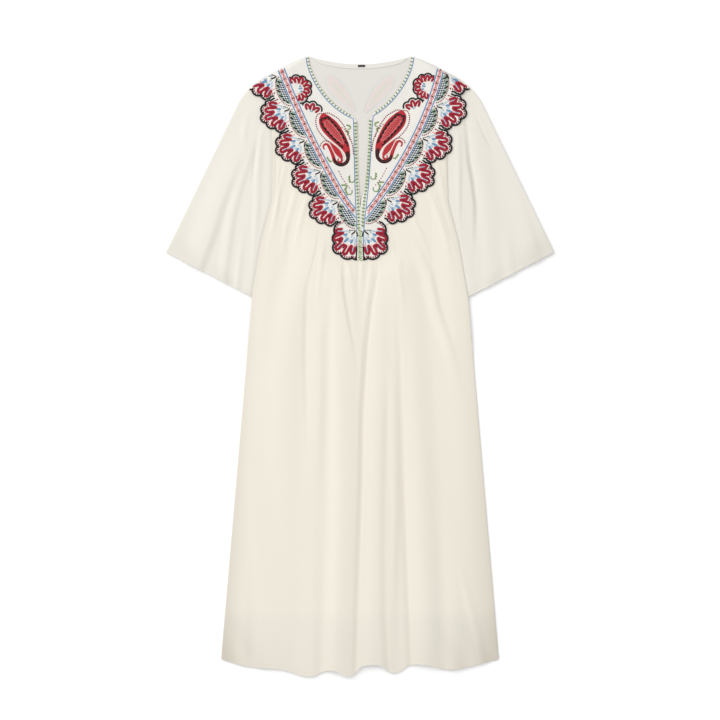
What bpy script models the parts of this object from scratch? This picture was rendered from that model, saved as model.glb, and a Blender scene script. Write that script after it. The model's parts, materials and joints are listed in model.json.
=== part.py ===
"""Kaftan dress laid flat on its back: gathered body, wide sleeves and a scalloped yoke.

The dress lies on z = 0 with its neck towards +Y. Every panel is a wall of cloth. The back
panels lie on the surface, the sleeves are flattened tubes whose inner ends lie between back
and front, the front body lies over them, and the two front yokes lie on top.

Sizes are in millimetres and become metres in the meshes. A place on the dress is given as
across (+ to the right as seen) and down, counted from the neck points to the hem.
"""

import bmesh
import bpy
from collections import namedtuple
from math import cos, hypot, pi, radians, sin, sqrt

MM = 0.001
OBJECT_NAME = "kaftan_dress"

# ------------------------------------------------------------------ driving dimensions, mm
LENGTH = 1239.0             # neck points to the lowest point of the hem
SLEEVE_TIP_OUT = 388.0      # centre to sleeve tip
NECK_HALF = 103.0           # half the neck's width
FRONT_NECK_DEPTH = 122.0
BACK_NECK_DEPTH = 16.0
NECK_FULLNESS = 1.6         # exponent of the front neck's superellipse
CLOTH = 1.0                 # wall of body and sleeve cloth
YOKE_CLOTH = 1.2            # wall of the embroidered front yoke
FACING_CLOTH = 0.8
GAP = 0.3                   # air between pieces that touch
SEAM_OVERLAP = 12.0         # how far a sleeve reaches in under the front body

# The yoke's V seam, where the gathered body is sewn on.
SEAM_POINT_DOWN = 398.0     # down to the V's point
SEAM_SLOPE = 1.984          # millimetres down for each millimetre towards the centre
SEAM_RUN = sqrt(1.0 + SEAM_SLOPE ** 2)

# The embroidered band that the fans of the scalloped edge stand on, one for each half: its
# middle lies at out = start - lean * down - bow * down^2, and first_notch is the way along it
# from its top to the first notch between fans.
Band = namedtuple("Band", "start lean bow first_notch")
BANDS = {-1: Band(167.2, 0.361, 0.000399, 46.6), 1: Band(166.9, 0.1985, 0.000912, 38.9)}
BAND_TOP_DOWN = 26.0
BAND_END_DOWN = 326.0
FAN_PITCH = 69.0
SIDE_FANS = 4               # whole fans below the shoulder fan
FAN_RADIUS = 35.5
FAN_CENTRE_OUT = 37.5       # from the band's middle to a fan's centre
FAN_HALF_ANGLE = radians(76.0)
NOTCH_OUT = 46.0
POINT_FAN_CENTRE = (10.0, 362.0)
POINT_FAN_RADIUS = 46.0
POINT_FAN_ANGLES = (radians(-26.0), radians(90.0))
UNDER_YOKE = 72.0           # how far below the seam the body lies flat under the yoke

# Layer heights: the underside of each piece where it lies on the ones below.
BACK_TOP = CLOTH
SLEEVE_UNDER_MIDDLE = BACK_TOP + GAP + CLOTH / 2
SLEEVE_LAYERS_APART = CLOTH + GAP
FRONT_LOW = BACK_TOP + GAP
FRONT_OVER_SLEEVE = SLEEVE_UNDER_MIDDLE + SLEEVE_LAYERS_APART + CLOTH / 2 + GAP
YOKE_HIGH = FRONT_OVER_SLEEVE + CLOTH + GAP

# Half outline of the body: (down, half width).
BODY_SIDE = (
    (0.0, 172.0),
    (60.0, 172.0),
    (147.0, 176.0),
    (187.0, 174.0),
    (291.0, 176.0),
    (367.0, 196.0),
    (481.0, 216.0),
    (1187.0, 276.0),
    (1239.0, 279.0),
)

# Shoulder edge, from the neck point to the sleeve tip: (out, down).
SHOULDER = (
    (NECK_HALF, 0.0),
    (124.0, 7.0),
    (162.0, 26.0),
    (200.0, 46.0),
    (224.0, 66.0),
    (240.0, 86.0),
    (250.0, 107.0),
    (SLEEVE_TIP_OUT, 392.0),
)
CUFF_INNER_DOWN = 486.5     # the cuff's hidden inner corner
UNDERARM_DOWN = 415.0       # top of the hidden underarm seam

# Slit in the front yoke: (down, left edge across, right edge across).
SLIT = (
    (FRONT_NECK_DEPTH, -14.0, 26.0),
    (131.0, -6.0, 18.0),
    (170.0, -5.0, 16.0),
    (247.0, -3.0, 13.0),
    (297.0, -0.25, 1.5),
    (312.0, -0.25, 0.25),
    (408.0, -0.25, 0.25),
)

# A long fold of the front body: where its crest lies across at the yoke and at the hem, its
# foot to either side, its rise at the yoke, halfway and at the hem, and the hem it takes up.
Fold = namedtuple("Fold", "at_yoke at_hem left right top middle low taken_up")
FRONT_FOLDS = (
    Fold(-140.0, -156.0, 70.0, 34.0, 5.0, 2.5, 2.0, 0.0),
    Fold(-44.0, -50.0, 44.0, 30.0, 5.0, 8.0, 9.0, 8.0),
    Fold(40.0, 24.0, 30.0, 54.0, 5.0, 8.0, 9.0, 20.0),
    Fold(102.0, 122.0, 38.0, 32.0, 4.0, 7.0, 9.0, 17.0),
    Fold(150.0, 186.0, 40.0, 40.0, 4.0, 3.0, 4.0, 0.0),
)

# A soft ridge along a sleeve: its place and half width as shares of the way from shoulder to
# underarm, and its rise at the cuff.
Ridge = namedtuple("Ridge", "at wide rise")
LEFT_SLEEVE_RIDGES = (Ridge(0.22, 0.20, 2.6), Ridge(0.66, 0.24, 3.0))
RIGHT_SLEEVE_RIDGES = (Ridge(0.34, 0.24, 3.0), Ridge(0.78, 0.18, 2.6))


# ------------------------------------------------------------------ small helpers
def table(rows, key, column=1):
    """Straight-line reading of a table whose first column rises."""
    for low, high in zip(rows, rows[1:]):
        if key <= high[0]:
            share = max(0.0, (key - low[0]) / (high[0] - low[0]))
            return low[column] + (high[column] - low[column]) * share
    return rows[-1][column]


def mix(a, b, share):
    """Point at a share of the way from a to b."""
    return tuple(p + (q - p) * share for p, q in zip(a, b))


def ease(x):
    """Smooth step from 0 to 1."""
    x = min(1.0, max(0.0, x))
    return x * x * (3.0 - 2.0 * x)


def spans_of(path):
    """Lengths between a path's neighbouring points."""
    return [hypot(b[0] - a[0], b[1] - a[1]) for a, b in zip(path, path[1:])]


def walk(path, share):
    """Point at a share of a path's length."""
    spans = spans_of(path)
    left = share * sum(spans)
    for span, a, b in zip(spans, path, path[1:]):
        if left <= span or b is path[-1]:
            return mix(a, b, min(1.0, left / span))
        left -= span
    return path[-1]


def shares_of(path):
    """Share of a path's length reached at each of its points."""
    reached = [0.0]
    for span in spans_of(path):
        reached.append(reached[-1] + span)
    return [r / reached[-1] for r in reached]


def place(across, down, height):
    """Metres in the part's frame from a place on the dress."""
    return (across * MM, (LENGTH / 2 - down) * MM, height * MM)


def material(name, colour, roughness):
    """Plain cloth material."""
    mat = bpy.data.materials.new(name)
    mat.use_nodes = True
    shader = mat.node_tree.nodes["Principled BSDF"]
    shader.inputs["Base Color"].default_value = (*colour, 1.0)
    shader.inputs["Roughness"].default_value = roughness
    shader.inputs["Metallic"].default_value = 0.0
    return mat


def link_mesh(name, bm, mat):
    """New object of the dress from a bmesh."""
    mesh = bpy.data.meshes.new(name)
    bm.to_mesh(mesh)
    bm.free()
    mesh.materials.append(mat)
    piece = bpy.data.objects.new(name, mesh)
    DRESS.objects.link(piece)
    return piece


def grid_panel(name, point, columns, rows, mat, wall):
    """Wall of cloth on a grid of columns by rows, each point moved to its place."""
    bm = bmesh.new()
    bmesh.ops.create_grid(bm, x_segments=columns, y_segments=rows, size=0.5)
    for vert in bm.verts:
        vert.co = place(*point(vert.co.x + 0.5, vert.co.y + 0.5))
    bm.normal_update()
    if sum(face.normal.z for face in bm.faces) < 0.0:
        bmesh.ops.reverse_faces(bm, faces=bm.faces)
    panel = link_mesh(name, bm, mat)
    thick = panel.modifiers.new("wall", "SOLIDIFY")
    thick.thickness = wall * MM
    thick.offset = 1.0
    thick.use_even_offset = True
    return panel


# ------------------------------------------------------------------ outlines
def half_width(down):
    """Half the body's width at a height."""
    return table(BODY_SIDE, down)


def seam_down(across):
    """How far down the yoke's V seam lies."""
    return SEAM_POINT_DOWN - SEAM_SLOPE * abs(across)


def front_neck_down(across):
    """Front neckline: a superellipse from the neck points to the slit."""
    share = min(1.0, abs(across) / NECK_HALF)
    return FRONT_NECK_DEPTH * (1.0 - share ** NECK_FULLNESS) ** (1.0 / NECK_FULLNESS)


def back_neck_down(across):
    """Back neckline: a shallow parabola."""
    return BACK_NECK_DEPTH * (1.0 - (across / NECK_HALF) ** 2)


def band_point(side, along, out):
    """Out and down of a point given along a half's band and out from its middle."""
    band = BANDS[side]
    steps = 60
    path = []
    for step in range(steps + 1):
        down = BAND_TOP_DOWN + (BAND_END_DOWN - BAND_TOP_DOWN) * step / steps
        path.append((band.start - band.lean * down - band.bow * down ** 2, down))
    middle = walk(path, along / sum(spans_of(path)))
    slope = band.lean + 2.0 * band.bow * middle[1]
    run = sqrt(1.0 + slope ** 2)
    return middle[0] + out / run, middle[1] + out * slope / run


def scalloped_edge(side, steps):
    """The yoke's outer edge from the shoulder to the centre, as one arc for each fan."""
    first_notch = BANDS[side].first_notch
    edge = [(224.0, 66.0), (208.0, 77.0), band_point(side, first_notch, NOTCH_OUT)]
    for fan in range(SIDE_FANS):
        middle = first_notch + FAN_PITCH * (fan + 0.5)
        for step in range(1, steps + 1):
            angle = FAN_HALF_ANGLE * (2.0 * step / steps - 1.0)
            edge.append(band_point(side, middle + FAN_RADIUS * sin(angle),
                                   FAN_CENTRE_OUT + FAN_RADIUS * cos(angle)))
    first, last = POINT_FAN_ANGLES
    for step in range(steps + 1):
        angle = first + (last - first) * step / steps
        edge.append((POINT_FAN_CENTRE[0] + POINT_FAN_RADIUS * cos(angle),
                     POINT_FAN_CENTRE[1] + POINT_FAN_RADIUS * sin(angle)))
    return edge


def hem_down(across):
    """Front hem: a shallow arc, taken up where the folds are."""
    down = LENGTH - 34.0 * (across / half_width(LENGTH)) ** 2
    for fold in FRONT_FOLDS:
        down -= fold.taken_up * bump(across - fold.at_hem, fold.left, fold.right)
    return down


# ------------------------------------------------------------------ heights
def bump(x, left, right):
    """Cosine ridge of height 1 with its own foot on each side."""
    reach = left if x < 0.0 else right
    return 0.5 + 0.5 * cos(pi * x / reach) if abs(x) < reach else 0.0


def fold_height(across, down):
    """Height of the front body's long folds."""
    along = min(1.0, max(0.0, (down - SEAM_POINT_DOWN) / (LENGTH - SEAM_POINT_DOWN)))
    height = 0.0
    for fold in FRONT_FOLDS:
        crest = fold.at_yoke + (fold.at_hem - fold.at_yoke) * along
        rise = table(((0.0, fold.top), (0.5, fold.middle), (1.0, fold.low)), along)
        height += rise * bump(across - crest, fold.left, fold.right)
    return height


def front_height(across, down):
    """Underside of the front body: on the back, over the sleeves and up under the yoke."""
    inside = half_width(down) - abs(across)
    over_sleeve = (1.0 - ease((inside - 24.0) / 40.0)) * (1.0 - ease((down - 545.0) / 90.0))
    below_seam = (down - seam_down(across)) / SEAM_RUN
    under_yoke = 1.0 - ease((below_seam - UNDER_YOKE) / 80.0)
    lift = max(over_sleeve, under_yoke) * (FRONT_OVER_SLEEVE - FRONT_LOW)
    folds = fold_height(across, down) * ease(inside / 60.0) * (1.0 - under_yoke)
    return FRONT_LOW + lift + folds


def yoke_height(across, down):
    """Underside of the front yoke: high over body and sleeves, low at the neck."""
    inside_seam = (seam_down(across) - down) / SEAM_RUN - 14.0
    inside_sleeve = 150.0 - abs(across)
    high = 1.0 - ease(min(inside_seam, inside_sleeve) / 50.0)
    return FRONT_LOW + high * (YOKE_HIGH - FRONT_LOW)


# ------------------------------------------------------------------ the pieces
def front_body(mat):
    """Wide front panel, gathered on the V seam and falling in long folds."""
    def point(u, v):
        side = 2.0 * u - 1.0
        top = seam_down(side * BODY_SIDE[0][1])
        hem = hem_down(side * half_width(LENGTH - 20.0))
        down = top + (hem - top) * v ** 1.2
        across = side * half_width(down)
        return across, down, front_height(across, down)
    return grid_panel("front_body", point, 40, 22, mat, CLOTH)


def back_body(mat):
    """Plain back panel, flat on the surface, a little short of the front all round."""
    def point(u, v):
        side = 2.0 * u - 1.0
        top = seam_down(side * BODY_SIDE[0][1]) + GAP * SEAM_RUN
        hem = LENGTH - 29.0 - 8.0 * side ** 2
        down = top + (hem - top) * v ** 1.2
        return side * (half_width(down) - GAP), down, 0.0
    return grid_panel("back_body", point, 16, 16, mat, CLOTH)


def yoke_panel(name, side, inner, outer, height, mat, wall):
    """Half yoke ruled from its inner edge to its outer edge, with a curved shoulder."""
    shares = shares_of(outer)
    shoulder_out = outer[0][0]
    across_steps = 5

    def point(u, v):
        row = round(u * (len(outer) - 1))
        start = walk(inner, shares[row])
        out, down = mix(start, outer[row], v)
        fade = (1.0 - shares[row]) ** 6
        straight = mix(inner[0], outer[0], v)
        on_shoulder_out = inner[0][0] + (shoulder_out - inner[0][0]) * v
        down += fade * (table(SHOULDER, on_shoulder_out) - straight[1])
        return side * out, down, height(out, down)
    return grid_panel(name, point, len(outer) - 1, across_steps, mat, wall)


def front_yoke(name, side, mat):
    """Front yoke half: neck edge, slit edge and the scalloped outer edge."""
    column = 1 if side < 0 else 2
    corner = side * SLIT[0][column]
    neck_steps = 12
    inner = []
    for step in range(neck_steps + 1):
        turn = pi / 2 * step / neck_steps
        out = corner + (NECK_HALF - corner) * cos(turn)
        inner.append((out, front_neck_down(out)))
    inner += [(side * row[column], row[0]) for row in SLIT[1:]]
    return yoke_panel(name, side, inner, scalloped_edge(side, 7), yoke_height, mat, YOKE_CLOTH)


def back_yoke(mat):
    """Back yoke in one piece: half of it, mirrored at the centre."""
    outer_top = (BODY_SIDE[0][1], table(SHOULDER, BODY_SIDE[0][1]))
    outer = [outer_top, (BODY_SIDE[0][1], seam_down(BODY_SIDE[0][1]))]
    seam_steps = 12
    for step in range(1, seam_steps + 1):
        out = BODY_SIDE[0][1] * (1.0 - step / seam_steps)
        outer.append((out, seam_down(out)))
    inner = []
    neck_steps = 8
    for step in range(neck_steps + 1):
        out = NECK_HALF * (1.0 - step / neck_steps)
        inner.append((out, back_neck_down(out)))
    inner.append((0.0, SEAM_POINT_DOWN - 8.0))
    panel = yoke_panel("back_yoke", -1, inner, outer, lambda out, down: 0.0, mat, CLOTH)
    half = panel.modifiers.new("other half", "MIRROR")
    half.merge_threshold = 0.0001
    panel.modifiers.move(1, 0)
    return panel


def back_neck_facing(mat):
    """Narrow strip inside the back neck edge."""
    def point(u, v):
        across = 88.0 * (2.0 * u - 1.0)
        return across, back_neck_down(across) + 0.6 + 8.4 * v, BACK_TOP + GAP
    return grid_panel("back_neck_facing", point, 16, 1, mat, FACING_CLOTH)


def neck_label(mat):
    """Small blank tab on the facing."""
    bpy.ops.mesh.primitive_cube_add(size=1.0)
    tab = bpy.context.object
    tab.name = "neck_label"
    tab.scale = (14.0 * MM, 4.2 * MM, 0.8 * MM)
    tab.location = place(3.0, BACK_NECK_DEPTH + 3.2, BACK_TOP + FACING_CLOTH + 2 * GAP + 0.4)
    bpy.ops.object.transform_apply(location=False, rotation=False, scale=True)
    for collection in tab.users_collection:
        collection.objects.unlink(tab)
    DRESS.objects.link(tab)
    tab.data.materials.append(mat)
    return tab


def sleeve(name, side, ridges, mat):
    """Flattened tube between armhole, shoulder fold, cuff and the hidden underarm seam.

    Each section is two loops, the cloth's outer and inner faces. A loop runs along the upper
    layer from the shoulder fold to the underarm and back along the under layer.
    """
    columns = (0.0, 0.04, 0.09, 0.16, 0.25, 0.36, 0.48, 0.61, 0.74, 0.87, 1.0)
    rows = 11

    armhole_top = half_width(0.0) - SEAM_OVERLAP
    armhole = [(armhole_top, table(SHOULDER, armhole_top))]
    for down in (60.0, 100.0, 147.0, 187.0, 240.0, 291.0, 330.0, 367.0, UNDERARM_DOWN):
        armhole.append((half_width(down) - SEAM_OVERLAP, down))
    cuff = [SHOULDER[-1], (half_width(CUFF_INNER_DOWN) - SEAM_OVERLAP, CUFF_INNER_DOWN)]
    shoulder = [armhole[0]] + [row for row in SHOULDER if row[0] > armhole_top]
    underarm = [armhole[-1], cuff[-1]]

    def plan(u, v):
        """Coons patch: the plane shape spanned by the four edges."""
        a, c = walk(armhole, v), walk(cuff, v)
        s, w = walk(shoulder, u), walk(underarm, u)
        ruled = [a[i] * (1 - u) + c[i] * u + s[i] * (1 - v) + w[i] * v for i in (0, 1)]
        top, low = mix(armhole[0], cuff[0], u), mix(armhole[-1], cuff[-1], u)
        return [ruled[i] - top[i] * (1 - v) - low[i] * v for i in (0, 1)]

    def middles(u, v):
        """Heights of the middle of the under layer and of the upper layer."""
        out, down = plan(u, v)
        beside = out - half_width(down)
        on_back = 1.0 - ease((beside - 16.0) / 18.0)
        under = CLOTH / 2 + (BACK_TOP + GAP) * on_back
        free = ease((beside - 8.0) / 50.0) * ease((down - 90.0) / 90.0)
        free *= ease(v / 0.12) * ease((1.0 - v) / 0.12)
        soft = sum(ridge.rise * (0.35 + 0.65 * u) * bump(v - ridge.at, ridge.wide, ridge.wide)
                   for ridge in ridges)
        return under, SLEEVE_UNDER_MIDDLE + SLEEVE_LAYERS_APART + free * (soft - 0.7)

    def loop(u, face, fold_in, layer_in):
        """One face of a section: face is +1 for the outer one and -1 for the inner one."""
        start, end = plan(u, 0.0), plan(u, 1.0)
        length = hypot(end[0] - start[0], end[1] - start[1])
        stations = [layer_in / length] + [row / rows for row in range(1, rows)]
        stations.append(1.0 - layer_in / length)
        upper, under = [], []
        for v in stations:
            out, down = plan(u, v)
            low, high = middles(u, v)
            upper.append((side * out, down, high + face * CLOTH / 2))
            under.append((side * out, down, low - face * CLOTH / 2))
        folds = []
        for v in (fold_in / length, 1.0 - fold_in / length):
            out, down = plan(u, v)
            folds.append((side * out, down, sum(middles(u, v)) / 2))
        return [folds[0]] + upper + [folds[1]] + under[::-1]

    bm = bmesh.new()
    outer = [[bm.verts.new(place(*p)) for p in loop(u, 1, 0.0, 0.7)] for u in columns]
    inner = [[bm.verts.new(place(*p)) for p in loop(u, -1, 1.2, 1.6)] for u in columns]
    strips = list(zip(outer, outer[1:])) + list(zip(inner[1:], inner))
    strips += [(inner[0], outer[0]), (outer[-1], inner[-1])]
    for near, far in strips:
        for k in range(len(near)):
            n = (k + 1) % len(near)
            bm.faces.new((near[k], near[n], far[n], far[k]))
    bmesh.ops.recalc_face_normals(bm, faces=bm.faces)
    return link_mesh(name, bm, mat)


# ------------------------------------------------------------------ build
for old in list(bpy.data.objects):
    bpy.data.objects.remove(old, do_unlink=True)

DRESS = bpy.data.collections.new(OBJECT_NAME)
bpy.context.scene.collection.children.link(DRESS)

body_cloth = material("ivory_crepe", (0.86, 0.81, 0.72), 0.85)
yoke_cloth = material("white_linen", (0.84, 0.82, 0.76), 0.9)
facing_cloth = material("facing_cotton", (0.78, 0.77, 0.71), 0.9)
label_cloth = material("black_tape", (0.01, 0.01, 0.01), 0.8)

back_body(body_cloth)
back_yoke(yoke_cloth)
back_neck_facing(facing_cloth)
neck_label(label_cloth)
sleeve("sleeve_left", -1, LEFT_SLEEVE_RIDGES, body_cloth)
sleeve("sleeve_right", 1, RIGHT_SLEEVE_RIDGES, body_cloth)
front_body(body_cloth)
front_yoke("front_yoke_left", -1, yoke_cloth)
front_yoke("front_yoke_right", 1, yoke_cloth)
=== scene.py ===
# %% [markdown]
# # A kaftan dress, laid flat
#
# The dress lies on its back on a pale floor. Its body and sleeves are ivory crepe, and its
# yoke is white linen, embroidered with scalloped fans, a braided band and two paisleys.
# The solid model comes first, as a fixed frame. Each panel then gets a thin, softly creased
# shell in its place, and the embroidery is laid on the yoke stitch by stitch.

# %% The frame
import json
from collections import namedtuple

import bpy
import numpy as np
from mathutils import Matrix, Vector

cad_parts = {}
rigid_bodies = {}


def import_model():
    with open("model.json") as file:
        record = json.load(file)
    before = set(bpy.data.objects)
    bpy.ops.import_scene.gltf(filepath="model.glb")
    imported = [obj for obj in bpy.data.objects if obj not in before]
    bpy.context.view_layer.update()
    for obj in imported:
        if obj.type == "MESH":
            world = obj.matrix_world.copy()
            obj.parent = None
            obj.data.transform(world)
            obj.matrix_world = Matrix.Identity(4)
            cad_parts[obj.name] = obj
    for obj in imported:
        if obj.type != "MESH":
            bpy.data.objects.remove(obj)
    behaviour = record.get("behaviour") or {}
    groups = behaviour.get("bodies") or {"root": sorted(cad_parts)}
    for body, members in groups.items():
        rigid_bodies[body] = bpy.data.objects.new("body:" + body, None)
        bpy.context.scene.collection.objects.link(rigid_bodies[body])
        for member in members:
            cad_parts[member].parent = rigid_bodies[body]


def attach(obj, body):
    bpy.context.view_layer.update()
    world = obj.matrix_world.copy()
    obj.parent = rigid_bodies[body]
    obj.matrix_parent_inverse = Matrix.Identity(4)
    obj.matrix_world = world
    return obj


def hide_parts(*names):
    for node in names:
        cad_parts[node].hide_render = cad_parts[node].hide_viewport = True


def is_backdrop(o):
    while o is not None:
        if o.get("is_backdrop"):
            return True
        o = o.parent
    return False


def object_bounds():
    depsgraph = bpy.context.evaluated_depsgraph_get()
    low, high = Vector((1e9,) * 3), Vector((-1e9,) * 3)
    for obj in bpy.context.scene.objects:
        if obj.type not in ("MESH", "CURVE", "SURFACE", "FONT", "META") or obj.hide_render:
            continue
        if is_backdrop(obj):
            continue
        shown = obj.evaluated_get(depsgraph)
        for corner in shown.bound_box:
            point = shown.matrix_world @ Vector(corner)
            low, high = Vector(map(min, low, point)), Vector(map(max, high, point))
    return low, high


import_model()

cad_low, cad_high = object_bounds()
cad_box = [list(cad_low), list(cad_high)]
print("solid model's box, m:", np.round(cad_box, 4).tolist())

# %% [markdown]
# ## Places on the dress
#
# A maker measures a dress across from its centre line and down from the neck points. All the
# shapes here are worked out in those terms, in millimetres, and one function turns them into
# metres in the frame. Whole arrays go through it at once, so a panel is a few lines.

# %% Places, and the curves that shapes are made from
MM = 0.001
LENGTH = 1239.0         # neck points to the lowest point of the hem
NECK_Y = cad_high[1]    # the neck points are the highest place on the dress


def place(across, down, height):
    """Metres from millimetres: x = across, y = neck line - down, z = height."""
    return np.stack(np.broadcast_arrays(across * MM, NECK_Y - down * MM, height * MM), axis=-1)


def ease(x):
    """Smooth step 3 t^2 - 2 t^3, where t is x held between 0 and 1."""
    t = np.clip(x, 0.0, 1.0)
    return t * t * (3.0 - 2.0 * t)


def ridge(x, left, right):
    """Ridge of height 1 at x = 0: (1 + cos(pi x / reach)) / 2, its reach on each side its own."""
    reach = np.where(x < 0.0, left, right)
    return np.where(np.abs(x) < reach, 0.5 + 0.5 * np.cos(np.pi * x / reach), 0.0)


def running_sum(steps):
    """Sum of the steps before each place, from 0 to the sum of them all."""
    return np.concatenate([[0.0], np.cumsum(steps)])


def along_of(path):
    """Distance along a path at each of its points: the running sum of its spans."""
    return running_sum(np.hypot(*np.diff(path, axis=0).T))


def walk(path, share):
    """Points at shares of a path's length, read off straight between its points."""
    along = along_of(path)
    return np.stack([np.interp(share * along[-1], along, path[:, i]) for i in (0, 1)], axis=-1)


def even(path, count):
    """A count of evenly spaced points along a path."""
    return walk(path, np.linspace(0.0, 1.0, count))


def unit(ways):
    """Directions of length 1."""
    return ways / np.maximum(np.hypot(ways[..., 0], ways[..., 1]), 1e-9)[..., None]


def left_of(ways):
    """Directions turned a quarter to the left."""
    return np.stack([ways[..., 1], -ways[..., 0]], axis=-1)


def smooth_path(rows, count):
    """Smooth curve through a few rows: a cubic spline that is straight at its ends, found by
    solving for the second derivatives, and read at evenly spaced places."""
    rows = np.asarray(rows, dtype=float)
    n = len(rows)
    step = np.maximum(np.hypot(*np.diff(rows[:, :2], axis=0).T), 1e-6)
    at = running_sum(step)
    system = np.eye(n)
    right = np.zeros_like(rows)
    inner = np.arange(1, n - 1)
    system[inner, inner - 1] = step[:-1]
    system[inner, inner] = 2.0 * (step[:-1] + step[1:])
    system[inner, inner + 1] = step[1:]
    slope = np.diff(rows, axis=0) / step[:, None]
    right[inner] = 6.0 * np.diff(slope, axis=0)
    bend = np.linalg.solve(system, right)
    reading = np.linspace(0.0, at[-1], count)
    k = np.clip(np.searchsorted(at, reading, side="right") - 1, 0, n - 2)
    h = step[k][:, None]
    b = (reading - at[k])[:, None] / h
    a = 1.0 - b
    return (a * rows[k] + b * rows[k + 1]
            + ((a ** 3 - a) * bend[k] + (b ** 3 - b) * bend[k + 1]) * h ** 2 / 6.0)


print("neck line at y =", round(NECK_Y, 4), "m")

# %% Outlines of the panels
BODY_SIDE = np.array([      # down, half width
    (0.0, 172.0), (60.0, 172.0), (147.0, 176.0), (187.0, 174.0), (291.0, 176.0),
    (367.0, 196.0), (481.0, 216.0), (1187.0, 276.0), (1239.0, 279.0),
])
SHOULDER = np.array([       # out, down
    (103.0, 0.0), (124.0, 7.0), (162.0, 26.0), (200.0, 46.0), (224.0, 66.0),
    (240.0, 86.0), (250.0, 107.0), (388.0, 392.0),
])
NECK_HALF = 103.0
FRONT_NECK_DEPTH = 122.0
BACK_NECK_DEPTH = 16.0
NECK_FULLNESS = 1.6
SEAM_POINT_DOWN = 398.0
SEAM_SLOPE = 1.984
SEAM_RUN = np.hypot(1.0, SEAM_SLOPE)
SLIT = np.array([           # down, left edge across, right edge across
    (122.0, -14.0, 26.0), (131.0, -6.0, 18.0), (170.0, -5.0, 16.0), (247.0, -3.0, 13.0),
    (297.0, -0.25, 1.5), (312.0, -0.25, 0.25), (408.0, -0.25, 0.25),
])


def half_width(down):
    """Half the body's width, read from its side."""
    return np.interp(down, BODY_SIDE[:, 0], BODY_SIDE[:, 1])


def shoulder_down(out):
    """How far down the shoulder line lies."""
    return np.interp(out, SHOULDER[:, 0], SHOULDER[:, 1])


def seam_down(across):
    """The V seam between yoke and body: a straight line on each side."""
    return SEAM_POINT_DOWN - SEAM_SLOPE * np.abs(across)


def front_neck_down(across):
    """Front neckline: the superellipse depth * (1 - |x / half|^p)^(1/p)."""
    share = np.minimum(1.0, np.abs(across) / NECK_HALF)
    return FRONT_NECK_DEPTH * (1.0 - share ** NECK_FULLNESS) ** (1.0 / NECK_FULLNESS)


def back_neck_down(across):
    """Back neckline: the parabola depth * (1 - (x / half)^2)."""
    return BACK_NECK_DEPTH * (1.0 - (across / NECK_HALF) ** 2)


print("width at the hem:", 2 * half_width(LENGTH), "mm")

# %% [markdown]
# ## Camera, floor and light
#
# A garment laid out for sale is seen from straight above with a long lens, so nothing leans.
# The floor is plain and almost white. A broad light from the upper left gives each fold a
# bright and a dark side, and an even white sky keeps the shadows faint.

# %% Camera
FRAME_WIDTH = 1.44      # metres of floor across the view
FRAME_CENTRE_Y = 0.0125
LENS = 85.0
SENSOR = 36.0

scene = bpy.context.scene
scene.view_settings.view_transform = "Standard"
camera_data = bpy.data.cameras.new("camera")
camera_data.lens = LENS
camera_data.sensor_width = SENSOR
camera = bpy.data.objects.new("camera", camera_data)
scene.collection.objects.link(camera)
camera.location = (0.0, FRAME_CENTRE_Y, FRAME_WIDTH * LENS / SENSOR)
scene.camera = camera
print("camera", round(camera.location.z, 2), "m above the floor")

# %% Light
KEY_WATTS = 106.0
KEY_PLACE = (-3.2, 2.2, 2.7)
SKY_STRENGTH = 0.94

world = bpy.data.worlds.new("studio")
world.use_nodes = True
world.node_tree.nodes["Background"].inputs["Color"].default_value = (1.0, 1.0, 1.0, 1.0)
world.node_tree.nodes["Background"].inputs["Strength"].default_value = SKY_STRENGTH
scene.world = world
key_data = bpy.data.lights.new("key", "AREA")
key_data.size = 3.0
key_data.energy = KEY_WATTS
key = bpy.data.objects.new("key", key_data)
scene.collection.objects.link(key)
key.location = KEY_PLACE
key.rotation_euler = (-key.location).to_track_quat("-Z", "Y").to_euler()
print("key light", KEY_WATTS, "W")

# %% [markdown]
# ## Finishes
#
# Cloth is never one flat colour. Crepe has a fine pebbled face, linen shows its slubs, and
# embroidery thread catches the light along each strand. Every finish is built from the same
# few parts: a pair of close colours, a pattern at the real size, and a bump from it.

# %% One function for colours and one for nodes
def linear(colour, alpha=1.0):
    """Linear RGBA of an sRGB hex colour: ((c + 0.055) / 1.055)^2.4, or c / 12.92 when dark."""
    c = np.array([int(colour[i:i + 2], 16) for i in (1, 3, 5)]) / 255.0
    c = np.where(c > 0.04045, ((c + 0.055) / 1.055) ** 2.4, c / 12.92)
    return (*c.tolist(), alpha)


def add_node(tree, kind, inputs=None, **settings):
    """Adds a node with its settings. An input given an output is linked, else set."""
    new = tree.nodes.new(kind)
    for name, value in settings.items():
        setattr(new, name, value)
    for name, value in (inputs or {}).items():
        if isinstance(value, bpy.types.NodeSocket):
            tree.links.new(value, new.inputs[name])
        else:
            new.inputs[name].default_value = value
    return new


def new_finish(name, roughness, sheen=0.0):
    """Empty material with its Principled shader, roughness and sheen set."""
    finish = bpy.data.materials.new(name)
    finish.use_nodes = True
    shader = finish.node_tree.nodes["Principled BSDF"]
    shader.inputs["Roughness"].default_value = roughness
    shader.inputs["Sheen Weight"].default_value = sheen
    shader.inputs["Sheen Roughness"].default_value = 0.5
    return finish, finish.node_tree, shader


def object_place(tree):
    """Places in metres on the object."""
    return add_node(tree, "ShaderNodeTexCoord").outputs["Object"]


def noise(tree, where, scale, detail, roughness=0.5):
    """Cloudy pattern with a number of patches to the metre, or to the coordinate's own unit."""
    return add_node(tree, "ShaderNodeTexNoise", {
        "Vector": where, "Scale": scale, "Detail": detail,
        "Roughness": roughness}).outputs["Fac"]


WAVE_LENGTH = 2.0 * np.pi / 20.0    # wavelength of a Wave texture's bands at scale 1


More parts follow.
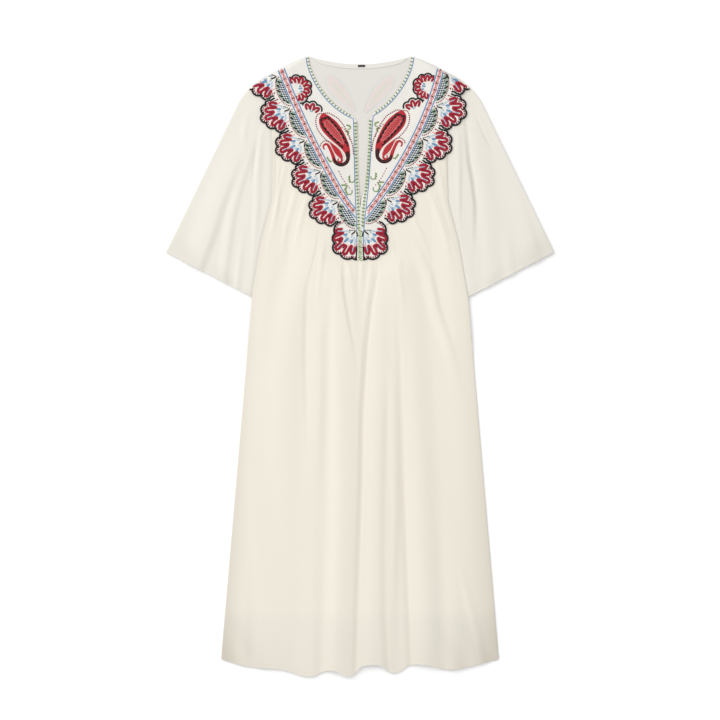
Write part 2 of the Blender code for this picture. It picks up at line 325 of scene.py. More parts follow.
def stripes(tree, where, apart, axis, **inputs):
    """Ribs at a distance apart, across an axis."""
    return add_node(tree, "ShaderNodeTexWave", {
        "Vector": where, "Scale": WAVE_LENGTH / apart, **inputs},
        bands_direction=axis).outputs["Fac"]


def mix(tree, factor, low, high):
    """Colour between low at factor 0 and high at factor 1."""
    return add_node(tree, "ShaderNodeMix", {"Factor": factor, "A": low, "B": high},
                    data_type="RGBA").outputs["Result"]


def face(tree, shader, colour, height, strength, deep=0.25):
    """Gives a shader its colour and a bump from a pattern, deep in mm."""
    tree.links.new(colour, shader.inputs["Base Color"])
    bump = add_node(tree, "ShaderNodeBump", {
        "Height": height, "Strength": strength, "Distance": deep * MM})
    tree.links.new(bump.outputs["Normal"], shader.inputs["Normal"])


# %% Ivory crepe
# Polyester crepe: matt, with a fine pebbled grain from its twisted yarns. The yarns are
# 0.25 mm apart, drawn at 1.3 mm so that the grain shows. The lining ends above the hem, and
# below it the single cloth looks a little darker.
CREPE_GRAIN = 1.3 * MM
LINING_END_DOWN = 1127.0


def crepe(name, lined, single, warm):
    """Crepe in its lined colour, its single colour below the lining, a warmer cloud, and painted
    shade by a piece's own "depth" attribute: a darker tone where the cloth would lie in shade."""
    finish, tree, shader = new_finish(name, 0.86, sheen=0.12)
    where = object_place(tree)
    y = add_node(tree, "ShaderNodeSeparateXYZ", {"Vector": where}).outputs["Y"]
    edge = NECK_Y - LINING_END_DOWN * MM
    below = add_node(tree, "ShaderNodeMapRange", {
        "Value": y, "From Min": edge + 22 * MM, "From Max": edge - 3 * MM,
    }, interpolation_type="SMOOTHSTEP").outputs["Result"]
    ends = mix(tree, below, linear(lined), linear(single))
    cloudy = mix(tree, noise(tree, where, 7.0, 2.0), ends, linear(warm))
    # painted shade: the "depth" attribute mixes the crepe towards the darker #A9A294
    depth = add_node(tree, "ShaderNodeAttribute", attribute_name="depth").outputs["Fac"]
    grain = noise(tree, where, 1.0 / CREPE_GRAIN, 3.0, 0.65)
    face(tree, shader, mix(tree, depth, cloudy, linear("#A9A294")), grain, 0.35)
    return finish


body_crepe = crepe("ivory_crepe", "#DFD9CD", "#D9D4C9", "#DFD9CC")
sleeve_crepe = crepe("ivory_crepe_single", "#DCD8CF", "#DCD8CF", "#DAD5CB")
print("crepe grain", CREPE_GRAIN / MM, "mm")

# %% White linen
# Plain-woven linen: yarns 0.45 mm apart, drawn at 1.1 mm, with thick slubs here and there.
# The two crossed sets of ribs and the slubs give it a dry, slightly uneven face.
LINEN_YARN = 1.1 * MM


def linen(name, light, dark):
    """Linen from two crossed sets of ribs, with slubs stretched along each."""
    finish, tree, shader = new_finish(name, 0.88, sheen=0.08)
    where = object_place(tree)
    ribs = [stripes(tree, where, LINEN_YARN, axis, Distortion=1.2, Detail=2.0,
                    **{"Detail Scale": 0.6}) for axis in ("X", "Y")]
    weave = add_node(tree, "ShaderNodeMath", {0: ribs[0], 1: ribs[1]}, operation="MULTIPLY")
    long_ways = add_node(tree, "ShaderNodeMapping", {"Vector": where, "Scale": (60.0, 900.0, 1.0)})
    slubs = noise(tree, long_ways.outputs["Vector"], 1.0, 2.0)
    both = add_node(tree, "ShaderNodeMath", {
        0: weave.outputs["Value"], 1: slubs}, operation="ADD").outputs["Value"]
    tone = add_node(tree, "ShaderNodeMapRange", {
        "Value": both, "From Min": 0.3, "From Max": 1.4}).outputs["Result"]
    face(tree, shader, mix(tree, tone, linear(dark), linear(light)), both, 0.5)
    return finish


yoke_linen = linen("white_linen", "#E2E0DA", "#D7D4CC")
# painted shade: the same linen in darker colours, for the back yoke's inside face within the neck
shaded_inner_linen = linen("white_linen_inner_painted_shade", "#D9D6D0", "#CFCCC5")
facing_cotton = linen("cotton_facing", "#DEDBD5", "#D3D0C8")
print("linen yarn", LINEN_YARN / MM, "mm")

# %% [markdown]
# ## Panels of cloth
#
# Each panel is one grid of points: shares along its two directions go through the panel's own
# shape function, and a thin wall is grown downwards from it. Grid lines lie closer together
# near hems and side seams, where the cloth turns over. A sewn simulation would also drape the
# cloth, but a dress spread out by hand has few, quiet folds, and those are listed here.

# %% Grid panels
def grid_mesh(name, points, around=False):
    """Mesh of quads on a (rows, columns, 3) array of points. With around, the last column joins
    the first. Faces turn so that the greater part of them looks up."""
    rows, columns = points.shape[:2]
    index = np.arange(rows * columns).reshape(rows, columns)
    if around:
        index = np.hstack([index, index[:, :1]])
    quads = np.stack([index[:-1, :-1], index[1:, :-1], index[1:, 1:], index[:-1, 1:]], axis=-1)
    quads = quads.reshape(-1, 4)
    flat = points.reshape(-1, 3)
    sides = flat[quads[:, 1]] - flat[quads[:, 0]], flat[quads[:, 2]] - flat[quads[:, 1]]
    if not around and np.cross(*sides)[:, 2].sum() < 0.0:
        quads = quads[:, ::-1]
    mesh = bpy.data.meshes.new(name)
    mesh.from_pydata(flat.tolist(), [], quads.tolist())
    mesh.shade_smooth()
    return mesh


def add_piece(name, mesh, finish, rides=True):
    """Object at the origin with its finish, riding on the dress, in its material slot."""
    mesh.materials.append(finish)
    piece = bpy.data.objects.new(name, mesh)
    scene.collection.objects.link(piece)
    if rides:
        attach(piece, "root")
    return piece


def cloth_panel(name, points, wall, finish, around=False, depth=None):
    """Panel of cloth whose points are its upper face, with a wall grown down or inwards. An
    array of painted shade becomes the "depth" attribute that its finish reads."""
    panel = add_piece(name, grid_mesh(name, points, around), finish)
    if depth is not None:
        layer = panel.data.attributes.new("depth", "FLOAT", "POINT")
        layer.data.foreach_set("value", np.ascontiguousarray(depth, dtype=np.float32).ravel())
    thick = panel.modifiers.new("wall", "SOLIDIFY")
    thick.thickness = wall * MM
    thick.offset = -1.0
    return panel


def shares(count, fine=(0.0,), length=1.0):
    """Evenly spaced shares from 0 to 1, with extra ones at given distances from each end."""
    near = np.array(fine) / length
    even = np.linspace(0.0, 1.0, count)
    even = even[(even > near.max() * 1.3) & (even < 1.0 - near.max() * 1.3)]
    return np.concatenate([near, even, 1.0 - near[::-1]])


def both_sides(count, fine, length):
    """Shares from -1 at the left end to 1 at the right end."""
    return 2.0 * shares(count, fine, length) - 1.0


print("panels are grids with a grown wall")

# %% Heights of the layers
CREPE = 0.6             # wall of the crepe
LINEN = 1.2             # wall of the embroidered, lined yoke
BACK_TOP = 1.0
GAP = 0.3
FRONT_LOW = BACK_TOP + GAP
SLEEVE_UNDER = 1.8
SLEEVE_APART = 1.3
FRONT_OVER_SLEEVE = 3.9
YOKE_HIGH = 5.2
UNDER_YOKE = 60.0       # how far below the seam the body is held flat under the yoke

# %% The band that the fans stand on
# The band of each half is a shallow curve from the shoulder to the slit, and every motif is
# placed by how far along it lies and how far out from its middle.
Band = namedtuple("Band", "start lean bow first_notch")
BANDS = {-1: Band(167.2, 0.361, 0.000399, 46.6), 1: Band(166.9, 0.1985, 0.000912, 38.9)}
BAND_TOP_DOWN = 26.0
FAN_PITCH = 69.0
SIDE_FANS = 5           # the shoulder fan and four whole ones
FAN_CENTRE_OUT = 36.8   # from the band's middle to the centre of a fan's circle
FAN_RADIUS = 37.0
POINT_FAN = (10.0, 362.0)   # out and down of the centre of the fan at the yoke's point
POINT_RADIUS = 46.0
FANS_OUT = 44.0         # all within this distance of the band's middle is yoke
FANS_ALONG = 320.0      # as far along the band as the side fans go


def band_table(side):
    """Rows of along, out, down and slope on a half's band: out = start - lean d - bow d^2."""
    band = BANDS[side]
    down = np.linspace(-24.0, 380.0, 160)
    out = band.start - band.lean * down - band.bow * down ** 2
    along = along_of(np.stack([out, down], axis=-1))
    along -= np.interp(BAND_TOP_DOWN, down, along)
    return np.stack([along, out, down, band.lean + 2.0 * band.bow * down])


BAND_TABLES = {side: band_table(side) for side in BANDS}


def band_point(side, along, out):
    """Out and down of places given along a half's band and out from its middle."""
    rows = BAND_TABLES[side]
    middle_out, middle_down, slope = (np.interp(along, rows[0], row) for row in rows[1:])
    run = np.hypot(1.0, slope)
    return np.stack([middle_out + out / run, middle_down + out * slope / run], axis=-1)


def band_place(side, out, down):
    """Along and out from the band's middle, for places given as out and down."""
    rows = BAND_TABLES[side]
    near = np.argmin((out[..., None] - rows[1]) ** 2 + (down[..., None] - rows[2]) ** 2, axis=-1)
    along, middle_out, middle_down, slope = (row[near] for row in rows)
    run = np.hypot(1.0, slope)
    x, y = out - middle_out, down - middle_down
    return along + (y - slope * x) / run, (x + slope * y) / run


def fan_axis(side, fan):
    """Way along the band at the middle of a fan; fan 0 is cut by the shoulder."""
    return BANDS[side].first_notch + FAN_PITCH * (fan - 0.5)


print("fans at", [round(fan_axis(-1, fan), 1) for fan in range(SIDE_FANS)], "mm on the left")

# %% [markdown]
# ## The front body
#
# The front is gathered on to the V seam, so small folds start at the scalloped edge and join
# into a few long ones that run to the hem. Each fold is a soft ridge with its own left and
# right foot, and its crest wanders a little on the way down. The hem dips where a fold stands
# and lifts between folds.

# %% Folds of the front body
# A fold: its crest as rows of (down, across, rise), and its foot to the left and right.
Fold = namedtuple("Fold", "crest left right")
LONG_FOLDS = (
    Fold(((330, -86, 0), (380, -97, 1.8), (430, -112, 3.2), (480, -126, 3.8), (546, -142, 3.8),
          (629, -152, 3.4), (760, -152, 2.4), (900, -152, 1.4), (1060, -156, 1.0),
          (1239, -160, 1.8)), 60, 56),
    Fold(((405, -64, 0), (470, -76, 2.8), (560, -80, 3.8), (700, -82, 3.0), (820, -88, 1.6),
          (900, -92, 0.8), (1239, -96, 1.8)), 40, 22),
    Fold(((405, -50, 0), (440, -46, 2.8), (560, -42, 4.8), (712, -38, 5.6), (850, -36, 6.0),
          (1000, -39, 6.2), (1110, -43, 6.2), (1239, -47, 5.8)), 36, 60),
    Fold(((400, 52, 0), (440, 52, 2.8), (500, 46, 4.2), (574, 40, 5.0), (712, 34, 5.4),
          (850, 33, 5.6), (1000, 30, 5.8), (1110, 26, 6.0), (1239, 22, 5.8)), 44, 64),
    Fold(((600, 62, 0), (700, 67, 1.4), (900, 70, 1.8), (1000, 68, 1.4), (1100, 66, 0.6),
          (1239, 64, 0)), 13, 13),
    Fold(((380, 76, 0), (430, 90, 2.8), (500, 97, 4.2), (640, 106, 5.0), (850, 119, 5.8),
          (1000, 126, 6.4), (1110, 131, 6.6), (1239, 136, 5.8)), 50, 46),
    Fold(((360, 112, 0), (400, 122, 1.8), (436, 138, 3.0), (505, 152, 3.4), (574, 176, 2.6),
          (640, 196, 1.0), (700, 205, 0)), 24, 14),
    Fold(((860, 176, 0), (1060, 186, 1.8), (1239, 190, 3.0)), 30, 32),
    Fold(((1000, 196, 0), (1080, 214, 1.6), (1160, 236, 2.0), (1239, 252, 1.8)), 12, 16),
    Fold(((980, -226, 0), (1100, -232, 1.6), (1239, -240, 2.2)), 24, 30),
    Fold(((1080, -268, 0), (1130, -262, 1.2), (1180, -240, 1.5), (1215, -205, 1.2),
          (1239, -180, 0)), 14, 18),
    Fold(((560, -214, 1.6), (800, -232, 1.8), (1060, -196, 1.2), (1239, -196, 1.6)), 26, 50),
    Fold(((560, 204, 1.4), (800, 226, 1.8), (1060, 236, 1.8), (1239, 240, 2.0)), 60, 28),
)
CREASES = (             # narrow troughs beside the long folds, sharper than their feet
    Fold(((415, 36, 0), (440, 33, -1.8), (500, 22, -2.8), (574, 13.5, -2.8), (712, 5, -2.4),
          (850, 3, -2.2), (1057, -4, -1.8), (1195, -8, -1.6), (1239, -9, -1.4)), 11, 6),
    Fold(((400, -34, 0), (430, -33, -1.6), (470, -31, -1.8), (526, -22, -1.6), (575, -13, -0.9),
          (640, -4, 0)), 7, 7),
    Fold(((640, 52, 0), (712, 53, -0.9), (850, 50, -1.2), (1000, 48, -1.0), (1130, 50, -1.1),
          (1239, 56, -1.3)), 14, 8),
    Fold(((500, 74, 0), (600, 79, -1.0), (712, 83, -1.4), (850, 86, -1.8), (1000, 91, -2.0),
          (1110, 95, -2.0), (1239, 100, -1.8)), 12, 7),
    Fold(((430, -104, 0), (500, -108, -1.2), (600, -110, -1.4), (700, -108, -0.8),
          (800, -106, 0)), 9, 8),
    Fold(((400, -8, 0), (415, -6, -1.4), (440, -5, -1.2), (470, -4, 0)), 4, 4),
    Fold(((400, 14, 0), (418, 12, -1.2), (445, 11, -0.9), (480, 10, 0)), 4, 4),
    Fold(((146, -166, 0), (175, -169, -1.5), (240, -169, -1.7), (275, -171, -1.2), (300, -173, 0)),
         5, 4),
    Fold(((190, -152, 0), (220, -156, -1.1), (260, -163, -1.2), (300, -169, 0)), 4, 4),
    Fold(((190, 170, 0), (207, 173, -1.4), (250, 174, -1.3), (275, 174, 0)), 5, 4),
    Fold(((240, 138, 0), (272, 153, -1.1), (330, 172, -1.4), (378, 190, -0.6), (400, 198, 0)),
         5, 4),
    Fold(((330, -80, 0), (380, -86, -0.9), (440, -100, -0.8), (490, -112, 0)), 5, 5),
    Fold(((340, 62, 0), (380, 70, -0.9), (440, 82, -0.7), (490, 90, 0)), 5, 5),
)
EDGE_FOLDS = (
    Fold(((200, -160, 0), (240, -164, 1.2), (300, -168, 1.6), (360, -172, 0)), 8, 10),
    Fold(((180, -146, 0), (230, -154, 1.4), (290, -166, 1.6), (360, -180, 0.8), (430, -190, 0)),
         8, 12),
    Fold(((240, -118, 0), (280, -132, 1.6), (340, -148, 1.8), (420, -158, 0)), 9, 12),
    Fold(((262, -98, 0), (300, -112, 1.6), (350, -124, 1.0), (400, -132, 0)), 8, 10),
    Fold(((190, 150, 0), (230, 158, 1.4), (290, 174, 1.8), (350, 186, 1.0), (420, 200, 0)),
         12, 8),
    Fold(((240, 126, 0), (290, 146, 1.6), (350, 168, 1.8), (430, 186, 0)), 12, 9),
    Fold(((290, 92, 0), (330, 110, 1.8), (380, 132, 1.2), (440, 150, 0)), 11, 9),
    Fold(((395, -30, 0), (425, -22, 1.4), (470, -14, 1.0), (540, -8, 0)), 8, 10),
    Fold(((398, 2, 0), (420, 4, 1.6), (450, 3, 0.8), (490, 2, 0)), 7, 6),
    Fold(((392, 24, 0), (420, 22, 1.0), (470, 14, 0.6), (520, 10, 0)), 6, 7),
    Fold(((372, 70, 0), (410, 78, 1.4), (470, 84, 0.8), (540, 88, 0)), 9, 8),
    Fold(((360, -70, 0), (400, -76, 1.4), (460, -82, 0.8), (520, -84, 0)), 9, 8),
)


def fold_height(folds, across, down):
    """Sum of the folds' ridges, each with its crest and rise read at this place down."""
    height = np.zeros(np.broadcast(across, down).shape)
    for fold in folds:
        downs, acrosses, rises = np.array(fold.crest, dtype=float).T
        crest = np.interp(down, downs, acrosses)
        rise = np.interp(down, downs, rises)
        height += rise * ridge(across - crest, float(fold.left), float(fold.right))
    return height


print(len(LONG_FOLDS), "long folds,", len(CREASES), "creases and", len(EDGE_FOLDS), "short ones")

# %% The front body's shape
HEM_BAND = 9.0          # depth of the turned-up hem
HEM_RISE = 0.35         # how much its second layer lifts the face
FOLD_RISE = 1.25        # all long folds together, a little higher or lower
HEM_EDGE = np.array([   # across, down: the hem's lowest line, uneven where folds stand
    (-279.0, 1204.0), (-250.0, 1213.0), (-208.0, 1221.5), (-146.0, 1228.0), (-116.0, 1238.0),
    (-90.0, 1238.5), (-72.0, 1230.0), (-44.0, 1230.0), (-30.0, 1238.0), (-14.0, 1237.0),
    (2.0, 1220.5), (22.0, 1216.0), (44.0, 1219.0), (56.0, 1230.0), (78.0, 1230.5),
    (94.0, 1219.5), (120.0, 1215.0), (142.0, 1218.0), (166.0, 1225.0), (190.0, 1225.0),
    (224.0, 1218.0), (279.0, 1204.0),
])
HEM_CURVE = smooth_path(HEM_EDGE, 400)


def hem_down(across):
    """The front hem, read from its smooth curve."""
    return np.interp(across, HEM_CURVE[:, 0], HEM_CURVE[:, 1])


def beyond_yoke(across, down):
    """Distance outside the yoke's fans, from the fans' circles and the fan at the point."""
    out = np.abs(across)
    nearest = np.hypot(out - POINT_FAN[0], down - POINT_FAN[1]) - POINT_RADIUS
    for side in (-1, 1):
        along, off = band_place(side, out, down)
        for fan in range(SIDE_FANS):
            circle = np.hypot(along - fan_axis(side, fan), off - FAN_CENTRE_OUT) - FAN_RADIUS
            nearest = np.where(across * side >= 0.0, np.minimum(nearest, circle), nearest)
        inside = np.where(along < FANS_ALONG, off - FANS_OUT, nearest)
        nearest = np.where(across * side >= 0.0, np.minimum(nearest, inside), nearest)
    return nearest


def front_top(across, down):
    """Upper face of the front body: low over the back, higher over the sleeves and under the
    yoke, plus the folds, which grow from the yoke's edge and fade towards the side seams. Their
    sum h is held above 0 by (h + sqrt(h^2 + 0.3)) / 2, so that no crease sinks into the back."""
    inside = half_width(down) - np.abs(across)
    over_sleeve = (1.0 - ease((inside - 24.0) / 40.0)) * (1.0 - ease((down - 545.0) / 90.0))
    below_seam = (down - seam_down(across)) / SEAM_RUN
    under_yoke = 1.0 - ease((below_seam - UNDER_YOKE) / 80.0)
    lift = np.maximum(over_sleeve, under_yoke) * (FRONT_OVER_SLEEVE - FRONT_LOW)
    beyond = beyond_yoke(across, down)
    clear = ease((beyond + 4.0) / 42.0)
    soft = FOLD_RISE * fold_height(LONG_FOLDS, across, down) * ease((inside - 2.0) / 60.0) * clear
    small = fold_height(EDGE_FOLDS, across, down) * ease(inside / 14.0) * ease((beyond + 8.0) / 16.0)
    small = small + fold_height(CREASES, across, down) * ease((beyond - 1.0) / 14.0)
    soft = (soft + small + np.sqrt((soft + small) ** 2 + 0.3)) / 2.0
    roll = 1.0 - np.sqrt(1.0 - (1.0 - np.clip(inside / 3.0, 0.0, 1.0)) ** 2)
    drop = roll * np.where(over_sleeve > 0.5, 0.5, 0.75)
    from_hem = hem_down(across) - down
    hem = HEM_RISE * ease((HEM_BAND - from_hem) / 1.0)
    return FRONT_LOW + CREPE + lift + soft + hem - drop


side = both_sides(216, fine=(0.0, 0.6, 1.6, 3.2, 5.5), length=440.0)
fine_hem = np.array([16.0, 12.5, 10.4, 9.4, 8.6, 7.6, 5.0, 2.0, 0.6, 0.0])
top = seam_down(side * 172.0)
hem = hem_down(side * 275.0)
share = (np.linspace(0.0, 1.0, 172) ** 1.15)[:, None]
down = np.vstack([top + (hem - 20.0 - top) * share, hem - fine_hem[:, None]])
across = side * half_width(down)
front_points = place(across, down, front_top(across, down))


def front_painted_shade(across, down):
    """Painted shade on the front, for its "depth" attribute: exp(-distance / reach) from the side
    seams, growing towards the hem and stronger on the right, a soft patch in each lower corner,
    a little in each crease, and a little more near the hem."""
    inside = half_width(down) - np.abs(across)
    right = across > 0.0
    lower = ease((down - 420.0) / 800.0)
    seam = np.where(right, 0.42, 0.36) * (0.45 + 0.55 * lower)
    reach = np.where(right, 9.0 + 22.0 * lower, 7.0 + 12.0 * lower)
    corner_out = np.where(right, (across - 70.0) / 205.0, (-across - 150.0) / 125.0)
    corner = 0.22 * ease(corner_out) * ease((down - 1070.0) / 160.0)
    uneven = 1.0 + 0.4 * np.sin(across / 9.0 - down / 31.0) * np.sin(down / 37.0)
    creased = -0.085 * fold_height(CREASES, across, down)
    hem = 0.05 * ease((down - 1100.0) / 130.0)
    return np.clip(seam * np.exp(-inside / reach) + corner * uneven + creased + hem, 0.0, 0.6)


# the front's painted shade goes into its "depth" attribute
front_body = cloth_panel("front_body_cloth", front_points, CREPE, body_crepe,
                         depth=front_painted_shade(across, down))
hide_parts("front_body")
print("front body:", front_points.shape[:2], "points")

# %% [markdown]
# ## The back
#
# The back body and the back yoke lie flat on the floor and carry everything else. They only
# show inside the neck and from below, so their faces are quiet: a slow waviness on the upper
# side, and a flat underside that rests on the floor.

# %% Back body and back yoke
BACK_WALL = 0.9
side = both_sides(70, fine=(0.0, 0.8, 2.0), length=440.0)
top = seam_down(side * 172.0) + GAP * SEAM_RUN
hem = LENGTH - 29.0 - 8.0 * side ** 2
down = top + (hem - top) * (shares(100, fine=(0.0, 0.8, 2.0), length=840.0)[:, None] ** 1.1)
across = side * (half_width(down) - GAP)
back_points = place(across, down, BACK_WALL)
back_body = cloth_panel("back_body_cloth", back_points, BACK_WALL, body_crepe)
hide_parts("back_body")

side = both_sides(130, fine=(0.0, 0.8, 2.0), length=344.0)
across = 172.0 * side
top = np.where(np.abs(across) < NECK_HALF, back_neck_down(across),
               shoulder_down(np.maximum(np.abs(across), NECK_HALF)))
low = seam_down(across) - 2.0 * np.clip(3.0 - np.abs(across), 0.0, 3.0)
down = top + (low - top) * shares(110, fine=(0.0, 0.8, 2.0), length=390.0)[:, None]
wavy = 0.05 * np.sin(across / 17.0) * np.sin(down / 23.0)
yoke_points = place(np.broadcast_to(across, down.shape), down, 0.95 + wavy)
# the back yoke wears the linen with painted shade
back_yoke = cloth_panel("back_yoke_cloth", yoke_points, 0.9, shaded_inner_linen)
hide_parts("back_yoke")
print("back:", back_points.shape[:2], "and", yoke_points.shape[:2], "points")

# %% Facing and label at the back of the neck
FACING_HALF = 93.0
FACING_DEPTH = 8.4
side = both_sides(60, fine=(0.0, 0.5, 1.2), length=2.0 * FACING_HALF)
across = FACING_HALF * side
deep = FACING_DEPTH * (1.0 - 0.7 * side ** 8)
down = back_neck_down(across) + 0.6 + deep * shares(9, fine=(0.0, 0.4, 1.0), length=8.4)[:, None]
facing_points = place(np.broadcast_to(across, down.shape), down, 1.8)
facing = cloth_panel("back_neck_facing_cloth", facing_points, 0.65, facing_cotton)
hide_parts("back_neck_facing")

LABEL_ACROSS = 3.0
LABEL_SIZE = (14.0, 4.2)
u = LABEL_SIZE[0] * (shares(15, fine=(0.0, 0.3), length=14.0) - 0.5)
v = LABEL_SIZE[1] * (shares(6, fine=(0.0, 0.3), length=4.2)[:, None] - 0.5)
bow = 0.12 * np.cos(np.pi * u / LABEL_SIZE[0])
label_points = place(LABEL_ACROSS + u + 0.0 * v, BACK_NECK_DEPTH + 3.2 + v, 2.75 + bow + 0.0 * v)
print("facing and label made")

# %% [markdown]
# ## The sleeves
#
# A sleeve lies as a flattened tube: its shoulder edge is a soft fold, and its underarm is
# hidden under the front. One loop of points runs along the upper layer and back along the
# under layer, and a section of it stands at each share of the way from armhole to cuff. The
# plane shape is spanned between the four curved edges.

# %% Sleeves
SLEEVE_UNDER_BODY = 12.0
UNDERARM_DOWN = 415.0
CUFF_INNER_DOWN = 486.5
CUFF_HEM = 5.0
SLEEVE_LONG = 236.0     # from the armhole to the cuff
SLEEVE_WIDE = 330.0     # the flat tube's width, halfway
LEFT_CREASES = (
    Fold(((140, 232, 0), (192, 238, 2.2), (265, 268, 3.4), (302, 283, 4.0), (345, 295, 4.4),
          (385, 310, 4.6), (440, 330, 4.2)), 20, 50),
    Fold(((150, 212, 0.6), (200, 222, 1.8), (265, 242, 2.2), (320, 256, 2.4), (374, 264, 2.6),
          (440, 272, 2.4)), 13, 18),
    Fold(((130, 196, 0), (160, 199, 2.0), (220, 203, 2.6), (260, 205, 1.6), (310, 206, 2.2),
          (400, 209, 2.6), (470, 216, 2.0)), 12, 11),
    Fold(((120, 194, 0), (150, 201, -1.0), (192, 210, -1.3), (221, 213, -1.0), (260, 217, 0)),
         5, 5),
    Fold(((96, 218, 0), (120, 226, 1.0), (150, 230, 1.4), (190, 232, 0)), 9, 12),
    Fold(((340, 232, 0), (400, 240, 1.2), (460, 246, 1.8)), 12, 9),
)
RIGHT_CREASES = (
    Fold(((140, 190, 0), (160, 196, 2.4), (229, 198, 3.0), (320, 197, 2.4), (380, 202, 0)),
         20, 7),
    Fold(((110, 204, 0), (141, 212, -1.6), (210, 218, -2.2), (250, 225, -2.2), (301, 231, -1.8),
          (356, 230, -0.8), (400, 230, 0)), 7, 8),
    Fold(((100, 220, 0), (141, 227, 1.8), (210, 237, 2.8), (250, 245, 3.0), (301, 252, 2.6),
          (356, 256, 2.2), (440, 262, 1.6)), 22, 34),
    Fold(((84, 221, 0), (127, 235, -1.1), (170, 253, -1.3), (196, 268, 0)), 5, 6),
    Fold(((200, 300, 0), (300, 326, 1.4), (380, 346, 2.0), (430, 362, 2.4)), 34, 18),
    Fold(((330, 288, 0), (400, 297, 1.6), (450, 304, 2.8)), 20, 16),
    Fold(((380, 212, 0), (410, 214, 1.4), (440, 216, 1.8), (480, 222, 1.4)), 14, 14),
)


def sleeve_points(side, creases):
    """Points of a sleeve's outer face, a loop for each section from armhole to cuff, and its
    painted shade: darker towards the cuff, at its outer corner, beside the body and in its creases."""
    top_out = half_width(0.0) - SLEEVE_UNDER_BODY
    downs = np.array([60.0, 100.0, 147.0, 187.0, 240.0, 291.0, 330.0, 367.0, UNDERARM_DOWN])
    armhole = np.vstack([[top_out, shoulder_down(top_out)],
                         np.stack([half_width(downs) - SLEEVE_UNDER_BODY, downs], axis=-1)])
    cuff = np.array([SHOULDER[-1],
                     (half_width(CUFF_INNER_DOWN) - SLEEVE_UNDER_BODY, CUFF_INNER_DOWN)])
    shoulder = np.vstack([armhole[0], SHOULDER[SHOULDER[:, 0] > top_out]])
    underarm = np.array([armhole[-1], cuff[-1]])
    u = shares(64, fine=(0.0, 0.8, 2.4, 4.2, 5.0, 5.8), length=240.0)[:, None]
    v = shares(120, fine=(0.0, 0.25, 0.7, 1.4, 2.4), length=SLEEVE_WIDE)
    a, c = walk(armhole, v), walk(cuff, v)
    s, w = walk(shoulder, u), walk(underarm, u)
    u, v = u[..., None], v[:, None]
    plan = (a * (1 - u) + c * u + s * (1 - v) + w * v
            - (armhole[0] * (1 - u) + cuff[0] * u) * (1 - v)
            - (armhole[-1] * (1 - u) + cuff[-1] * u) * v)
    out, down = plan[..., 0], plan[..., 1]
    u, v = u[..., 0], v[:, 0]
    beside = out - half_width(down)
    on_back = 1.0 - ease((beside - 16.0) / 18.0)
    under = (BACK_TOP + GAP) * on_back
    free = ease((beside - 3.0) / 26.0) * ease((down - 84.0) / 60.0)
    free = free * ease(v / 0.10) * ease((1.0 - v) / 0.12)
    to_cuff = (1.0 - u) * SLEEVE_LONG
    beside_seam = ease((beside - 1.4) / 5.0) * ease((down - 84.0) / 20.0)
    high = (SLEEVE_UNDER + SLEEVE_APART + 0.5 + beside_seam
            + free * (fold_height(creases, out, down) - 0.5)
            + 0.35 * ease((CUFF_HEM - to_cuff) / 1.0))
    edge = np.minimum(v, 1.0 - v) * SLEEVE_WIDE
    middle = (under + high) / 2.0
    round_over = np.sqrt(1.0 - (1.0 - np.clip(edge / 2.4, 0.0, 1.0)) ** 2)
    upper = middle + (high - middle) * round_over
    lower = middle + (under - middle) * round_over
    above = place(side * out, down, upper)
    below = place(side * out, down, lower)[:, -2:0:-1]
    loop = np.concatenate([above, below], axis=1)
    # painted shade for the "depth" attribute: outer corner (more on the right), cuff, the body's edge
    # and the creases
    corner = ease((out - 318.0) / 66.0) * ease((down - 300.0) / 90.0) * (0.18 if side > 0 else 0.06)
    cuff = 0.16 * ease((34.0 - to_cuff) / 30.0) * (0.6 + 0.4 * np.sin(out / 11.0 + 2.0))
    seam = 0.30 * np.exp(-np.clip(beside + 1.0, 0.0, None) / 2.6)
    fold = -0.20 * np.clip(fold_height(creases, out, down), -2.0, 0.0)
    deep = np.clip(corner + cuff + seam + fold, 0.0, 0.6)
    deep = np.concatenate([deep, deep[:, -2:0:-1]], axis=1)
    return (loop[:, ::-1], deep[:, ::-1]) if side > 0 else (loop, deep)


for name, side, creases in (("left", -1, LEFT_CREASES), ("right", 1, RIGHT_CREASES)):
    points, deep = sleeve_points(side, creases)
    cloth_panel(f"sleeve_{name}_cloth", points, CREPE, sleeve_crepe,
                                around=True, depth=deep)
    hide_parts(f"sleeve_{name}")
    print("sleeve", name, points.shape[:2], "points")

# %% [markdown]
# ## The shape of a fan
#
# The scalloped edge is a row of fans that open from roots on the band, and a larger one at
# the yoke's point. Each fan has five round lobes, not quite alike. Its places are given in
# its own frame, x down the band and y out from the root, or as an angle and a distance from
# the root, so that one description serves the cloth's edge and every stitch along it.

# %% Shapes of a fan
ROOT_OUT = 12.5         # from the band's middle to a fan's root
FAN_REACH = 34.2        # half the pitch of the fans: here neighbouring lobes meet
LOBE_ROUND = 0.62       # exponent that makes a lobe nearly half round


def polar(rows):
    """Own x and y of rows of (degrees from straight out, distance from the root)."""
    angle, distance = np.radians(np.asarray(rows, dtype=float)[:, 0]), np.asarray(rows)[:, 1]
    return np.stack([distance * np.sin(angle), distance * np.cos(angle)], axis=-1)


def arc_line(arc):
    """A fan's pink arc: distance = low + (high - low) cos(90 degrees * angle / reach)."""
    reach, low, high = arc
    angle = np.linspace(-reach, reach, 50)
    distance = low + (high - low) * np.cos(np.pi / 2.0 * angle / reach)
    return polar(np.stack([angle, distance], axis=-1))


